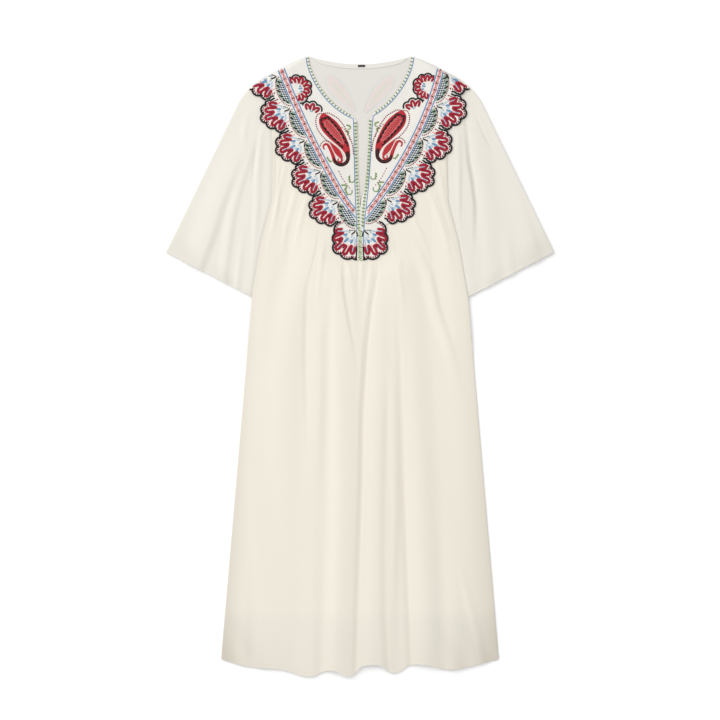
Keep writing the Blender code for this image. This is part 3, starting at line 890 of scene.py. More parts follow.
# Cusp angles and radii are about the fan's own circle, whose centre is given from the root.
# A loop is (degrees, distance of its pale slot, distance of its tip) from the root.
# The cord round the lobes stays within a limit of the axis, where the next fan begins, may
# end at some way across, and its tails turn in beside the axis.
FanShape = namedtuple("FanShape", "centre cusps radii rises loops arc limit tails end",
                      defaults=(32.6, ((-32.6, 20.5), (32.6, 20.0)), np.inf))
SIDE_SHAPE = FanShape(
    centre=(0.0, 24.3),
    cusps=(-80.0, -56.0, -24.0, 9.0, 46.0, 86.0),
    radii=(33.0, 33.5, 33.2, 32.2, 28.8, 32.0),
    rises=(4.4, 6.0, 7.4, 5.0, 6.2),
    loops=((-37, 35.5, 43.0), (-20.5, 41.5, 50.5), (-3.5, 44.5, 54.0), (15.5, 39.0, 48.5),
           (36.5, 35.0, 44.5)),
    arc=(57.0, 24.0, 36.0),
)
POINT_SHAPE = FanShape(
    centre=(7.8, 12.3),
    cusps=(-91.0, -55.0, -29.0, 3.0, 36.0, 53.0),
    radii=(43.5, 41.6, 42.7, 44.3, 42.2, 46.0),
    rises=(4.0, 4.2, 8.2, 5.2, 1.0),
    loops=((-42, 34.0, 41.5), (-23.5, 40.0, 49.0), (-3.0, 46.5, 56.0), (17.5, 45.0, 54.0),
           (34.0, 39.5, 48.0)),
    arc=(55.0, 27.0, 36.5),
    limit=50.0, tails=((-35.0, 9.0), (42.2, 43.0)), end=42.2,
)


def lobed_edge(shape, inset=0.0, count=14):
    """A fan's lobed edge in its own frame. Between cusps the distance from the centre is
    radius + rise * sin(pi t)^0.62, so that each lobe is nearly half round."""
    t = np.linspace(0.0, 1.0, count)
    cusps, radii = np.radians(shape.cusps), np.array(shape.radii)
    rises = np.array(shape.rises)[:, None]
    angle = (cusps[:-1, None] + np.diff(cusps)[:, None] * t).ravel()
    radius = (radii[:-1, None] + np.diff(radii)[:, None] * t
              + rises * np.sin(np.pi * t) ** LOBE_ROUND).ravel() - inset
    x = shape.centre[0] + radius * np.sin(angle)
    return np.stack([x, shape.centre[1] + radius * np.cos(angle)], axis=-1)


def loop_path(loops, wide, deep):
    """One line up and down round every loop's slot: its legs stand at a width to either side
    of the slot, from a depth below the slot's middle to a round turn at the tip."""
    rows = np.array(loops, dtype=float)
    angle, middle, tip = np.radians(rows[:, :1]), rows[:, 1:2], rows[:, 2:]
    sideways = wide * np.array([-1.1, -1.0, -0.75, 0.0, 0.75, 1.0, 1.1])
    outwards = np.concatenate([middle - deep, middle + 0.8, tip - 2.0, tip,
                               tip - 2.0, middle + 0.8, middle - deep], axis=1)
    x = outwards * np.sin(angle) + sideways * np.cos(angle)
    y = outwards * np.cos(angle) - sideways * np.sin(angle)
    return smooth_path(np.stack([x.ravel(), y.ravel()], axis=-1), 34 * len(rows))


def side_fan(side, fan):
    """Function from a side fan's own frame to across and down."""
    def to_dress(points):
        places = band_point(side, fan_axis(side, fan) + points[..., 0], ROOT_OUT + points[..., 1])
        return places * (side, 1.0)
    return to_dress


POINT_ROOT = (6.8, 347.8)


def point_fan(side):
    """Function from the point fan's own frame, turned 45 degrees, to across and down."""
    def to_dress(points):
        x, y = points[..., 0], points[..., 1]
        out = POINT_ROOT[0] + (y - x) * np.sqrt(0.5)
        down = POINT_ROOT[1] + (y + x) * np.sqrt(0.5)
        return np.stack([side * out, down], axis=-1)
    return to_dress


print("fan shapes:", len(SIDE_SHAPE.rises), "lobes each")

# %% [markdown]
# ## The front yokes
#
# Each half of the yoke runs from the neck and the slit to a scalloped outer edge: a row of
# fans with five round lobes each, and a larger fan at the point. The edge comes from the same
# formula that later guides the black cord around it. The cloth lies high over the gathered
# body, dips inside the yoke, and turns down softly at the shoulder.

# %% The yoke's surface and its scalloped edge
def yoke_top(across, down):
    """Upper face of the yoke: high over body and sleeves, low at the neck, and turned down
    where the shoulder folds over. A slow waviness of +-0.2 mm comes from the dense stitches."""
    out = np.abs(across)
    inside_seam = (seam_down(out) - down) / SEAM_RUN - 14.0
    high = 1.0 - ease(np.minimum(inside_seam, 150.0 - out) / 50.0)
    to_shoulder = down - shoulder_down(np.maximum(out, NECK_HALF))
    over = 1.0 - ease((to_shoulder + 0.5) / 9.0)
    over = np.where(out > NECK_HALF - 6.0, over, 0.0)
    wavy = 0.2 * np.sin(across / 5.3 + down / 9.1) * np.sin(down / 6.7 - across / 13.0)
    full = FRONT_LOW + high * (YOKE_HIGH - FRONT_LOW) + wavy
    return full + LINEN - over * (0.9 + 1.6 * high)


NOTCH = 33.5            # how far out from the roots the cloth is cut between two fans
JOIN_DOWN = 326.0       # where the grid's line to the point fan's first notch leaves the slit
POINT_FROM = 336.0      # how far down the fan at the point takes over the edge
POINT_MIDDLE = np.array([8.0, 340.0])   # towards which that fan's edge is drawn in
BREAK = 0.65            # share of the way across at which the grid's lines reach the middle


def outer_edge(side):
    """The scalloped edge of a half from the shoulder to the slit, for each of its points one
    on a smooth curve through the fans' middles, so that no two lines of the grid cross, and
    the row where the fan at the point begins."""
    edge = lobed_edge(SIDE_SHAPE)
    edge = edge[edge[:, 1] > NOTCH]
    edge[:, 0] = np.maximum.accumulate(np.clip(edge[:, 0], -FAN_REACH, FAN_REACH))
    even = np.linspace(-FAN_REACH, FAN_REACH, len(edge))
    middle = np.stack([(edge[:, 0] + even) / 2.0, np.full(len(edge), 24.0)], axis=-1)
    fans = [side_fan(side, fan) for fan in range(SIDE_FANS)]
    out_edge = np.vstack([to_dress(edge) for to_dress in fans]) * (side, 1.0)
    out_middle = np.vstack([to_dress(middle) for to_dress in fans]) * (side, 1.0)
    on_dress = out_edge[:, 1] > shoulder_down(out_edge[:, 0]) + 1.0
    out_edge, out_middle = out_edge[on_dress], out_middle[on_dress]
    point = point_fan(1)(lobed_edge(POINT_SHAPE))
    point = point[(point[:, 1] > POINT_FROM) & (point[:, 0] > 0.3)]
    above_point = out_edge[:, 1] < point[0, 1] + 1.0
    out_edge, out_middle = out_edge[above_point], out_middle[above_point]
    corner = np.array([[out_edge[0, 0] + 1.0, shoulder_down(out_edge[0, 0] + 1.0)]])
    corner_middle = np.array([[186.0, shoulder_down(186.0)]])
    end = np.array([[0.3, point[-1, 1]]])
    end_middle = np.array([[0.3, 386.0]])
    return (np.vstack([corner, out_edge, point, end]),
            np.vstack([corner_middle, out_middle, POINT_MIDDLE + (point - POINT_MIDDLE) * 0.6,
                       end_middle]),
            len(out_edge) + 1)


def inner_edge(side):
    """The neck edge and the slit's edge of a half, as out and down, to where the grid's last
    line leaves it for the point."""
    column = 1 if side < 0 else 2
    corner = side * SLIT[0, column]
    turn = np.linspace(0.0, np.pi / 2.0, 60)
    neck = corner + (NECK_HALF - corner) * np.cos(turn)
    slit = smooth_path(np.stack([side * SLIT[1:, column], SLIT[1:, 0]], axis=-1), 120)
    slit = slit[slit[:, 1] < 352.0]
    return np.vstack([np.stack([neck, front_neck_down(neck)], axis=-1), slit])


for name, side in (("left", -1), ("right", 1)):
    outer, middle, join = outer_edge(side)
    inner = inner_edge(side)
    share = (along_of(outer) / along_of(outer)[-1])[:, None]
    inner_join = np.interp(JOIN_DOWN, inner[:, 1], along_of(inner)) / along_of(inner)[-1]
    inner_share = np.interp(share[:, 0], [0.0, share[join, 0], 1.0], [0.0, inner_join, 1.0])
    v = shares(48, fine=(0.0, 0.5, 1.2, 2.2), length=120.0)[None, :, None]
    start = walk(inner, inner_share)[:, None, :]
    first = start + (middle[:, None, :] - start) * v / BREAK
    second = middle[:, None, :] + (outer - middle)[:, None, :] * (v - BREAK) / 0.35
    plan = np.where(v < BREAK, first, second)
    out, down = plan[..., 0], plan[..., 1]
    straight = np.interp(out[0], [inner[0, 0], middle[0, 0], outer[0, 0]],
                         [inner[0, 1], middle[0, 1], outer[0, 1]])
    down = down + (1.0 - share) ** 6 * (shoulder_down(out[0]) - straight)
    points = place(side * out, down, yoke_top(side * out, down))
    cloth_panel(f"front_yoke_{name}_cloth", points, LINEN, yoke_linen)
    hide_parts(f"front_yoke_{name}")
    print("yoke", name, points.shape[:2], "points")

# %% [markdown]
# ## Embroidery thread
#
# On the dress each motif is sewn in a few ways: a thick cord of stem stitch around a shape,
# satin stitch that fills it, and short single stitches in dotted lines. All of them are low,
# rounded ribs of thread here: a path on the cloth, a half width along it, and an arched
# section carried along the path. A rib catches the light on one side and throws a small
# shadow on the other, as sewn thread does, which a flat painted pattern can't.

# %% Ribs of thread
SUNK = 0.25             # how far a rib's edges reach into the cloth
SEWN = {}               # colour -> ribs waiting to be joined into one mesh


def sew(colour, paths, half, rise, surface=None, arch=2.0, points=5, closed=False):
    """Ribs along paths of (across, down): at a share v of the half width the section is
    rise * (1 - |v|^arch) above the cloth, with v = sin t so that its points lie closer near
    the edges, and open ends are rounded off in plan."""
    surface = surface or yoke_top
    paths = np.asarray(paths, dtype=float)
    paths = paths[None] if paths.ndim == 2 else paths
    if closed:
        paths = np.concatenate([paths, paths[:, :1]], axis=1)
    way = np.gradient(paths, axis=1)
    if closed:
        way[:, 0] = way[:, -1] = paths[:, 1] - paths[:, -2]
    left = left_of(unit(way))
    spans = np.hypot(*np.moveaxis(np.diff(paths, axis=1), -1, 0))
    along = np.concatenate([np.zeros((len(paths), 1)), np.cumsum(spans, axis=1)], axis=1)
    half = np.broadcast_to(np.asarray(half, dtype=float), along.shape)
    to_end = np.minimum(along, along[:, -1:] - along)
    rounded = np.sqrt(1.0 - (1.0 - np.clip(to_end / (0.9 * half + 1e-6), 0.0, 1.0)) ** 2)
    rounded = np.ones_like(along) if closed else np.maximum(rounded, 0.35)
    v = np.sin(np.linspace(-np.pi / 2.0, np.pi / 2.0, points))
    plan = paths[:, :, None] + left[:, :, None] * (half * rounded)[..., None, None] * v[:, None]
    arched = 1.0 - np.abs(v) ** arch
    height = surface(plan[..., 0], plan[..., 1]) - SUNK + (
        (rise + SUNK) * rounded[..., None] * arched)
    threads = np.stack(np.broadcast_arrays(along[..., None], half[..., None] * v), axis=-1)
    SEWN.setdefault(colour, []).append((place(plan[..., 0], plan[..., 1], height), threads))


def dashes(colour, middles, directions, length, half, rise, surface=None):
    """Single stitches: short ribs about their middles, laid along given directions."""
    middles = np.asarray(middles, dtype=float)
    directions = np.broadcast_to(np.asarray(directions, dtype=float), middles.shape)
    reach = np.array([-0.5, -0.28, 0.28, 0.5])[None, :, None] * np.reshape(length, (-1, 1, 1))
    paths = middles[:, None, :] + unit(directions)[:, None, :] * reach
    sew(colour, paths, half, rise, surface)


def row_of(path, pitch, start=0.5):
    """Places at an even pitch along a path, and the path's direction at each."""
    along = along_of(path)
    reached = np.arange(start * pitch, along[-1], pitch)
    ahead = walk(path, np.minimum(1.0, (reached + 0.4) / along[-1]))
    behind = walk(path, np.maximum(0.0, (reached - 0.4) / along[-1]))
    return (ahead + behind) / 2.0, ahead - behind


def below_shoulder(paths, margin=1.5):
    """Whether each place lies on the dress, a little inside the shoulder edge."""
    out = np.abs(paths[..., 0])
    return paths[..., 1] > shoulder_down(np.maximum(out, NECK_HALF)) + margin


def sew_inside(colour, path, half, rise, **how):
    """A rib along the stretches of a path that lie on the dress."""
    kept = below_shoulder(path)
    breaks = np.flatnonzero(np.diff(kept.astype(int))) + 1
    for stretch, inside in zip(np.split(path, breaks), np.split(kept, breaks)):
        if inside[0] and len(stretch) > 3:
            sew(colour, stretch, half, rise, **how)


def dashes_inside(colour, middles, directions, length, half, rise, margin=2.0):
    """Single stitches at those places that lie on the dress."""
    middles = np.asarray(middles, dtype=float)
    kept = below_shoulder(middles, margin)
    directions = np.broadcast_to(np.asarray(directions, dtype=float), middles.shape)[kept]
    lengths = np.broadcast_to(length, kept.shape)[kept]
    if kept.any():
        dashes(colour, middles[kept], directions, lengths, half, rise)


print("ribs of thread: cords, fills and single stitches")

# %% [markdown]
# ## A fan's stitches
#
# From the outside in, a fan has a black cord around its lobes, a row of slanted rose stitches,
# a crimson line that runs up and down each lobe with a pale stitch in each turn and a dark one
# between turns, a pink arc, a few blue stitches like petals, and a black arrow at the root.

# %% Sewing a fan
def fan_line(shape, inset, narrower, tail_shift, count):
    """Line along a fan's lobes at an inset, held a little narrower than the shape's limit, up
    to the shape's end, with its tails shifted."""
    tails = np.array(shape.tails) + tail_shift
    line = lobed_edge(shape, inset)
    line[:, 0] = np.clip(line[:, 0], narrower - shape.limit, shape.limit - narrower)
    line = line[line[:, 0] < shape.end + tail_shift[1][0]]
    return even(np.vstack([tails[:1], line, tails[1:]]), count)


def sew_fan(to_dress, shape):
    """All the stitches of one fan. The cord and the slanted rose stitches inside it follow
    the lobes at their own insets, and end in tails beside the axis."""
    root = to_dress(np.zeros(2))

    def rays(colour, places, length, half, rise):
        """Stitches that point away from the root."""
        dashes_inside(colour, places, places - root, length, half, rise)

    cord = fan_line(shape, 1.2, 0.0, ((0.0, 0.0), (0.0, 0.0)), 150)
    sew_inside("black", to_dress(cord), 2.0, 1.4)
    rim = fan_line(shape, 5.0, 4.0, ((5.0, -5.5), (-5.0, -5.0)), 160)
    middles, ways = row_of(to_dress(rim), 4.6)
    outwards = unit(middles - to_dress(even(rim * 0.9, len(middles))))
    dashes_inside("rose", middles, unit(ways) + 1.2 * outwards, 3.9, 1.8, 0.9)
    sew_inside("crimson", to_dress(loop_path(shape.loops, 3.65, 7.0)), 3.0, 0.9, points=7,
               arch=3.0)
    slots = to_dress(polar(shape.loops))
    rays("mist_and_painted_shadow", slots[::2], 9.0, 1.3, 1.3)
    rays("white", slots[1::2], 9.4, 1.4, 1.3)
    sew_inside("pink", to_dress(arc_line(shape.arc)), 1.05, 0.55)
    rows = np.array(shape.loops)
    between = to_dress(polar((rows[:-1, :2] + rows[1:, :2]) / 2.0 - (0.0, 3.5)))
    rays("rose", between, 8.6, 1.6, 1.0)
    rays("black", between, 5.0, 0.75, 1.7)
    petals = to_dress(polar([(-23.0, 24.0), (-1.0, 28.5), (21.0, 24.7)]))
    rays("blue", petals, np.array([9.4, 13.4, 9.2]), 2.8, 0.8)
    pale = to_dress(polar([(-39, 20.5), (-12, 25), (10, 25), (37, 21), (-40, 27), (37, 27),
                           (-30, 15), (8, 16), (26, 17)]))
    rays("mist_and_painted_shadow", pale, 7.0, 1.8, 0.5)
    for turned, end in ((-4.0, 14.5), (52.0, 13.5)):
        stroke = np.stack([np.full(6, turned), np.linspace(2.0, end, 6)], axis=-1)
        sew_inside("black", to_dress(polar(stroke)), 1.6, 1.1)
    rays("black", to_dress(polar([(-43, 3.4), (-43, 7.4), (-43, 11.2), (-43, 14.6)])), 3.0, 1.35, 0.9)


for side in (-1, 1):
    for fan in range(SIDE_FANS):
        sew_fan(side_fan(side, fan), SIDE_SHAPE)
    sew_fan(point_fan(side), POINT_SHAPE)
print({colour: len(ribs) for colour, ribs in SEWN.items()})

# %% [markdown]
# ## Band and crescents
#
# The band is a braid of two pink strands that cross between dark knots, inside two blue
# lines. On its outer side a crescent fills the space between two fans' roots: a dotted arc,
# a rim of sage and navy stitches that all lean the same way, and a hatch of black and pale blue.

# %% Band
BLUE_SLIT = {           # down, across
    -1: ((125.4, -13.2), (140.0, -12.6), (170.0, -12.0), (247.0, -10.4), (303.0, -8.4),
         (325.0, -7.2), (380.0, -6.4)),
    1: ((119.8, 26.2), (140.0, 24.4), (173.0, 22.4), (262.0, 16.6), (308.0, 11.5),
        (339.0, 8.2), (380.0, 6.8)),
}
TUCK_DOWN = 270.0       # from here down the band's end turns in to the slit
KNOT_PITCH = 14.0
FIRST_KNOT = {-1: 7.0, 1: 1.5}
TUCK = {-1: 0.0028, 1: 0.0008}      # how fast it turns in


def tucked(side, down):
    """How far the band's end is turned in: tuck * (down - 270)^2."""
    return TUCK[side] * np.maximum(down - TUCK_DOWN, 0.0) ** 2


def band_line(side, along, off):
    """Places on the drawn band: the band's own curve, its end turned in to the slit."""
    places = band_point(side, along, off)
    places[..., 0] -= tucked(side, places[..., 1])
    return places * (side, 1.0)


def clear_of_slit(side, places, margin):
    """Whether places lie a margin outside the blue line along the slit."""
    rows = np.array(BLUE_SLIT[side])
    edge = np.interp(places[..., 1], rows[:, 0], rows[:, 1])
    return side * (places[..., 0] - edge) > margin


for side in (-1, 1):
    along = np.arange(-2.0, 345.0, 2.0)
    for off in (-6.2, 6.2):
        line = band_line(side, along, off)
        sew_inside("line_blue", line[clear_of_slit(side, line, 0.0)], 1.35, 0.8)
    strand = 2.8 * np.cos(np.pi * (along - FIRST_KNOT[side]) / KNOT_PITCH)
    for way in (-1.0, 1.0):
        path = band_line(side, along, way * strand)
        colour = "braid" if way < 0.0 else "pink"
        sew_inside(colour, path[clear_of_slit(side, path, 2.0)], 1.5, 0.6 + 0.1 * way)
    knots = np.arange(FIRST_KNOT[side], 340.0, KNOT_PITCH)
    middles = band_line(side, knots, 0.0)
    ahead = band_line(side, knots + 1.0, 0.0)
    kept = clear_of_slit(side, middles, 3.5)
    dashes_inside("knot", middles[kept], (ahead - middles)[kept], 3.8, 1.75, 1.1)
print("knots every", KNOT_PITCH, "mm along the band")

# %% Crescents
LEAN = (0.81, -0.58)    # direction of the rim's stitches: down the band and in towards it


def sew_crescent(side, middle):
    """Half ellipse on the band's outer side: along = middle - 2.5 + 31 sin a, off = 7.4 +
    17.4 cos a. Its hatch is a lattice of short black stitches between pale ones."""
    def spot(angle, shrink, lean=0.0):
        along = middle - 2.5 + 31.0 * shrink * np.sin(angle) + lean * LEAN[0]
        off = 7.4 + 17.4 * shrink * np.cos(angle) + lean * LEAN[1]
        return band_point(side, along, off) * (side, 1.0)

    def lay(colour, middles, ways, length, half, rise):
        """Stitches of the crescent that lie clear of the slit's edge."""
        clear = clear_of_slit(side, middles, 2.0)
        if clear.any():
            dashes_inside(colour, middles[clear], ways[clear], length, half, rise)

    middles, ways = row_of(spot(np.linspace(-1.5, 1.5, 60), 1.0), 4.0)
    lay("rose", middles, ways, 2.9, 1.9, 0.9)
    turn = np.linspace(-1.32, 1.38, 13)
    middles, ways = spot(turn, 0.78), spot(turn, 0.78, 1.0) - spot(turn, 0.78)
    lay("sage", middles[::2], ways[::2], 9.6, 2.7, 0.6)
    lay("navy", middles[1::2], ways[1::2], 8.4, 2.2, 0.9)
    along, off = np.meshgrid(np.arange(-24.0, 28.0, 4.9), np.arange(-7.0, 20.0, 4.1))
    along = along + (off - 11.6) * 0.75
    inside = ((along + 2.0) / 23.0) ** 2 + ((off - 7.4) / 12.5) ** 2 < 1.0
    along, off = middle + along[inside], off[inside]
    turned_in = tucked(side, band_point(side, along, off)[:, 1])
    beyond = off + 0.85 * turned_in > 8.8
    along, off = along[beyond], off[beyond]
    middles = band_point(side, along, off) * (side, 1.0)
    ahead = band_point(side, along + LEAN[0], off + LEAN[1]) * (side, 1.0)
    beside = band_point(side, along + 0.3, off + 1.0) * (side, 1.0)
    lay("black", middles, ahead - middles, 4.6, 1.7, 0.8)
    lay("mist_and_painted_shadow", middles + (ahead - middles) * 2.4, beside - middles, 4.4, 1.1, 0.5)


for side in (-1, 1):
    for fan in range(SIDE_FANS):
        sew_crescent(side, fan_axis(side, fan) + FAN_PITCH / 2.0)
print("crescents:", 2 * SIDE_FANS)

# %% [markdown]
# ## Paisleys
#
# A paisley is one long comma: a broad head that narrows down the slit side, runs round a
# bulb, and ends in a small hook. A second, smaller drop curls inside the bulb. Each follows a
# line that turns evenly along each of a few legs, and has a half width given by a formula.
# All the lines around and inside it are drawn beside that line, so they keep to its shape. A
# white strip, a little wider and lying lower, parts it from the cloth.

# %% Paisley
RIGHT_SHIFT = (10.5, -6.0)  # the right half's inner motifs lie further out and higher
# Legs of a turning line: length in mm, degrees turned along it.
COMMA_START, COMMA_HEADING = (73.0, 114.0), -4.0
COMMA_LEGS = ((28, -38), (45, 6), (30, 32), (42, 169), (30, -15), (20, -210))
DROP_START, DROP_HEADING = (61.5, 170.5), -42.0
DROP_LEGS = ((38, 8), (8, 34), (16, 230))
HEAD_LENGTH = 105.0         # how far along the comma its broad head tapers out
HEAD_SWELL = 13.5           # how much wider than the tail each side of the head is
LOOP_INSET = 0.62           # where the black loop runs, as a share of the half width
LOOP_WAVE = 9.8             # length of one wave of the black loop
DOTTED_CLEAR = 6.0          # from the head's edge to the dotted line


def turning_line(start, heading, legs, count):
    """Line that turns evenly along each leg. Its heading, in degrees outwards from straight
    down, is the running sum of the turns, and its places are the running sum of its steps."""
    lengths, turns = np.array(legs, dtype=float).T
    reached = running_sum(lengths)
    s = np.linspace(0.0, reached[-1], count)
    angle = np.radians(heading + np.interp(s, reached, running_sum(turns)))
    steps = np.stack([np.sin(angle), np.cos(angle)], axis=-1) * (s[1] - s[0])
    return s, np.array(start) + np.vstack([[0.0, 0.0], np.cumsum(steps[1:], axis=0)])


def comma_half(s):
    """Half width of the comma: 4 + 13.5 sin(pi (s / head)^0.62)^1.2, then a slow taper."""
    head = np.sin(np.pi * np.clip(s / HEAD_LENGTH, 0.0, 1.0) ** 0.62) ** 1.2
    return np.interp(s, [150.0, 175.0, 195.0], [4.0, 3.0, 1.4]) + HEAD_SWELL * head


def drop_half(s):
    """Half width of the drop: one sine swell on its straight part, then its small hook."""
    swell = 0.8 + 5.4 * np.sin(np.pi * np.clip(s / 46.0, 0.0, 1.0) ** 1.3)
    return np.maximum(swell, np.interp(s, [40.0, 46.0, 62.0], [0.0, 2.8, 1.2]))


def to_half(side, path):
    """Places of a drawn motif on one half: the right half's are shifted, the left's turned."""
    return (path + np.array(RIGHT_SHIFT if side > 0 else (0.0, 0.0))) * (side, 1.0)


def beside_path(path, shift):
    """A path's places moved to its left by a shift."""
    left = left_of(unit(np.gradient(path, axis=0)))
    return path + left * np.reshape(shift, (-1, 1))


def round_top(path, shift):
    """One line down both sides of a path and round its start, at a shift to either side."""
    return np.vstack([beside_path(path, shift)[::-1], beside_path(path, -shift)])


def sew_paisley(side):
    """White ground, red comma and drop, black zigzag, light inner drop and dotted lines, all
    of them drawn beside or along the comma's and the drop's own turning lines."""
    s, comma = turning_line(COMMA_START, COMMA_HEADING, COMMA_LEGS, 196)
    t, drop = turning_line(DROP_START, DROP_HEADING, DROP_LEGS, 62)
    comma, drop = to_half(side, comma), to_half(side, drop)
    half, thin = comma_half(s), drop_half(t)
    for path, wide in ((comma, half), (drop, thin)):
        sew("white", path, wide + 1.6, 0.4, points=9, arch=8.0)
        sew("red", path, wide, 0.95, points=11, arch=10.0)
    for way in (-1.0, 1.0):
        sew("white", beside_path(drop, way * (thin + 0.9))[:46], 0.9, 1.5)
    ring = (s > 9.0) & (s < 84.0)
    loop = even(round_top(comma[ring], LOOP_INSET * half[ring]), 220)
    turns = 2.0 * np.pi * along_of(loop) / LOOP_WAVE
    sew("black", beside_path(loop, np.sin(turns + 1.2)), 2.35 + 0.85 * np.cos(turns), 1.6,
        points=7, arch=4.0)
    bulb = (s > 88.0) & (s < 150.0)
    taper = np.interp(s[bulb], [88.0, 98.0, 140.0, 150.0], [0.5, 1.04, 1.04, 0.4])
    sew("black", comma[bulb], half[bulb] * taper, 1.4, points=7, arch=5.0)
    middles, ways = row_of(comma[bulb], 4.6)
    dashes("red", middles, 0.6 * ways - left_of(ways), 4.6, 0.9, 2.0)
    core = (s > 15.0) & (s < 76.0)
    taper = np.interp(s[core], [15.0, 22.0, 60.0, 76.0], [0.7, 1.0, 1.0, 0.3])
    inner, wide = comma[core], 0.4 * half[core] * taper
    sew("rosy", inner, wide, 1.15, points=9, arch=6.0)
    edge = np.vstack([beside_path(inner, wide - 0.6), beside_path(inner, 0.6 - wide)[::-1]])
    sew("pink", edge[::2], 1.1, 1.7, closed=True)
    middles, ways = row_of(inner[:50], 5.0, start=1.2)
    aside = np.linspace(3.0, 0.8, len(middles))[:, None]
    sideways = left_of(unit(ways))
    for way in (-1.0, 1.0):
        dashes("pink", middles + way * aside * sideways, ways + sideways * way, 3.4, 1.1, 1.8)
        dashes("crimson", middles + way * 0.4 * aside * sideways, ways, 3.2, 1.2, 1.7)
    head, hook = s < 100.0, s > 158.0
    round_head = round_top(comma[head], half[head] + DOTTED_CLEAR)[::-1 if side > 0 else 1]
    beside_hook = beside_path(comma[hook], side * (half[hook] + 4.0))[2:-6]
    for line in (round_head, beside_hook):
        middles, ways = row_of(line, 4.1)
        dashes("rose", middles, ways, 3.0, 1.8, 0.9)


for side in (-1, 1):
    sew_paisley(side)
print("paisleys sewn, comma of", len(COMMA_LEGS), "legs")

# %% [markdown]
# ## Half fans inside the band
#
# Two more motifs grow inwards from the band near the shoulder: a rounded half fan, and below
# it a smaller one with three lobes. Both use the fans' own formula for a lobed edge, in a frame
# that opens inwards, and the upper one is cut off where it meets the band.

# %% Half fans
UPPER_CENTRE = {-1: (122.5, 65.0, 0.98), 1: (130.5, 60.8, 0.93)}     # out, down, size
UPPER_SHAPE = FanShape(
    centre=(0.0, 0.0),
    cusps=(-140.0, -121.0, -84.0, -50.0, -2.0, 42.0, 86.0),
    radii=(31.5, 25.6, 23.4, 22.4, 23.4, 23.5, 29.0),
    rises=(0.8, 4.0, 4.2, 4.6, 3.6, 3.4),
    loops=((-129, 20.5, 26.0), (-104, 17.5, 23.5), (-73, 16.5, 23.0), (-42, 16.5, 23.0),
           (-13, 16.5, 23.5), (17, 16.5, 22.5), (46, 16.5, 22.5), (73, 18.0, 24.0),
           (96, 20.0, 25.5)),
    arc=(110.0, 10.5, 11.0),
)
SECOND_CENTRE = (99.0, 114.0, 1.0)      # on the left half; the right one is shifted
SECOND_SHAPE = FanShape(
    centre=(0.0, 0.0), cusps=(-136.0, -94.0, -52.0, -8.0), radii=(21.0, 20.5, 20.5, 21.0),
    rises=(4.2, 4.2, 4.2), loops=((-115, 13.5, 19.5), (-73, 13.5, 19.5), (-30, 13.5, 19.5)),
    arc=None)


def half_fan(side, out, down, size):
    """Function from a half fan's own frame, opening inwards, to across and down."""
    def to_dress(points):
        return np.stack([side * (out - size * points[..., 1]),
                         down + size * points[..., 0]], axis=-1)
    return to_dress


def outside_band(side, path):
    """Whether places lie clear of the band on its inner side."""
    return band_place(side, np.abs(path[..., 0]), path[..., 1])[1] < -7.4


def sew_half_fan(side, shape, to_dress, cord, deep, half, slot):
    """Cord, crimson loops and white slots of a half fan, as far as the band, and its root. A
    slot is the length and half width of its stitch."""
    root, slots = to_dress(np.zeros(2)), to_dress(polar(shape.loops))
    cord, loops = to_dress(cord), to_dress(loop_path(shape.loops, 3.1, deep))
    sew("black", cord[outside_band(side, cord)], 1.85, 1.3)
    sew("crimson", loops[outside_band(side, loops)], half, 0.9, points=7, arch=3.0)
    dashes("white", slots, slots - root, *slot, 1.0)
    return root


for side in (-1, 1):
    to_dress = half_fan(side, *UPPER_CENTRE[side])
    root = sew_half_fan(side, UPPER_SHAPE, to_dress, even(lobed_edge(UPPER_SHAPE), 110), 4.8,
                        2.5, (6.4, 1.0))
    middles, ways = row_of(to_dress(lobed_edge(UPPER_SHAPE, inset=3.4)), 3.4)
    kept = outside_band(side, middles)
    dashes("rose", middles[kept], ways[kept], 2.2, 1.0, 0.6)
    arc = to_dress(arc_line(UPPER_SHAPE.arc))
    sew("pink", arc[outside_band(side, arc)], 0.75, 0.5)
    petals = to_dress(polar([(-62, 6.0), (-8, 3.5), (46, 8.0)]))
    dashes("blue", petals, petals - root, (5.4, 8.0, 5.8), 2.0, 0.7)
    pale = to_dress(polar([(-30, 7.5), (20, 7.5), (72, 9.0)]))
    dashes("mist_and_painted_shadow", pale, pale - root, 4.0, 1.1, 0.45)

    out, down, size = np.array(SECOND_CENTRE) + (*(RIGHT_SHIFT if side > 0 else (0.0, 0.0)), 0.0)
    to_dress = half_fan(side, out, down, size)
    root = sew_half_fan(side, SECOND_SHAPE, to_dress, lobed_edge(SECOND_SHAPE), 5.0, 2.6,
                        (5.0, 0.8))
    petals = to_dress(polar([(-90, 5.0), (-50, 5.0)]))
    dashes("blue", petals, petals - root, 4.6, 1.3, 0.6)
print("half fans sewn")

# %% [markdown]
# ## Sprigs, slit and neck edge
#
# Between the motifs grow small green sprigs with red dashes. The neck and the slit are edged
# with a blue line and short green stitches over the edge, and below the slit the two halves
# are joined by a column of green waves.

# %% Sprigs
SPRIGS = (              # out, down, heading, size, side to which the stem curls
    (28.0, 137.0, -80.0, 0.8, 1.0), (26.0, 158.0, -150.0, 0.7, -1.0),
    (38.0, 258.0, -100.0, 0.9, 1.0), (30.0, 262.0, -10.0, 1.3, -1.0),
    (21.0, 238.0, 5.0, 1.1, -1.0), (66.0, 201.0, -25.0, 1.0, -1.0),
)
RED_LINES = (           # out, down, heading, length, degrees turned
    (38.0, 141.0, -60.0, 32.0, 50.0), (43.0, 228.0, -20.0, 44.0, -25.0),
)

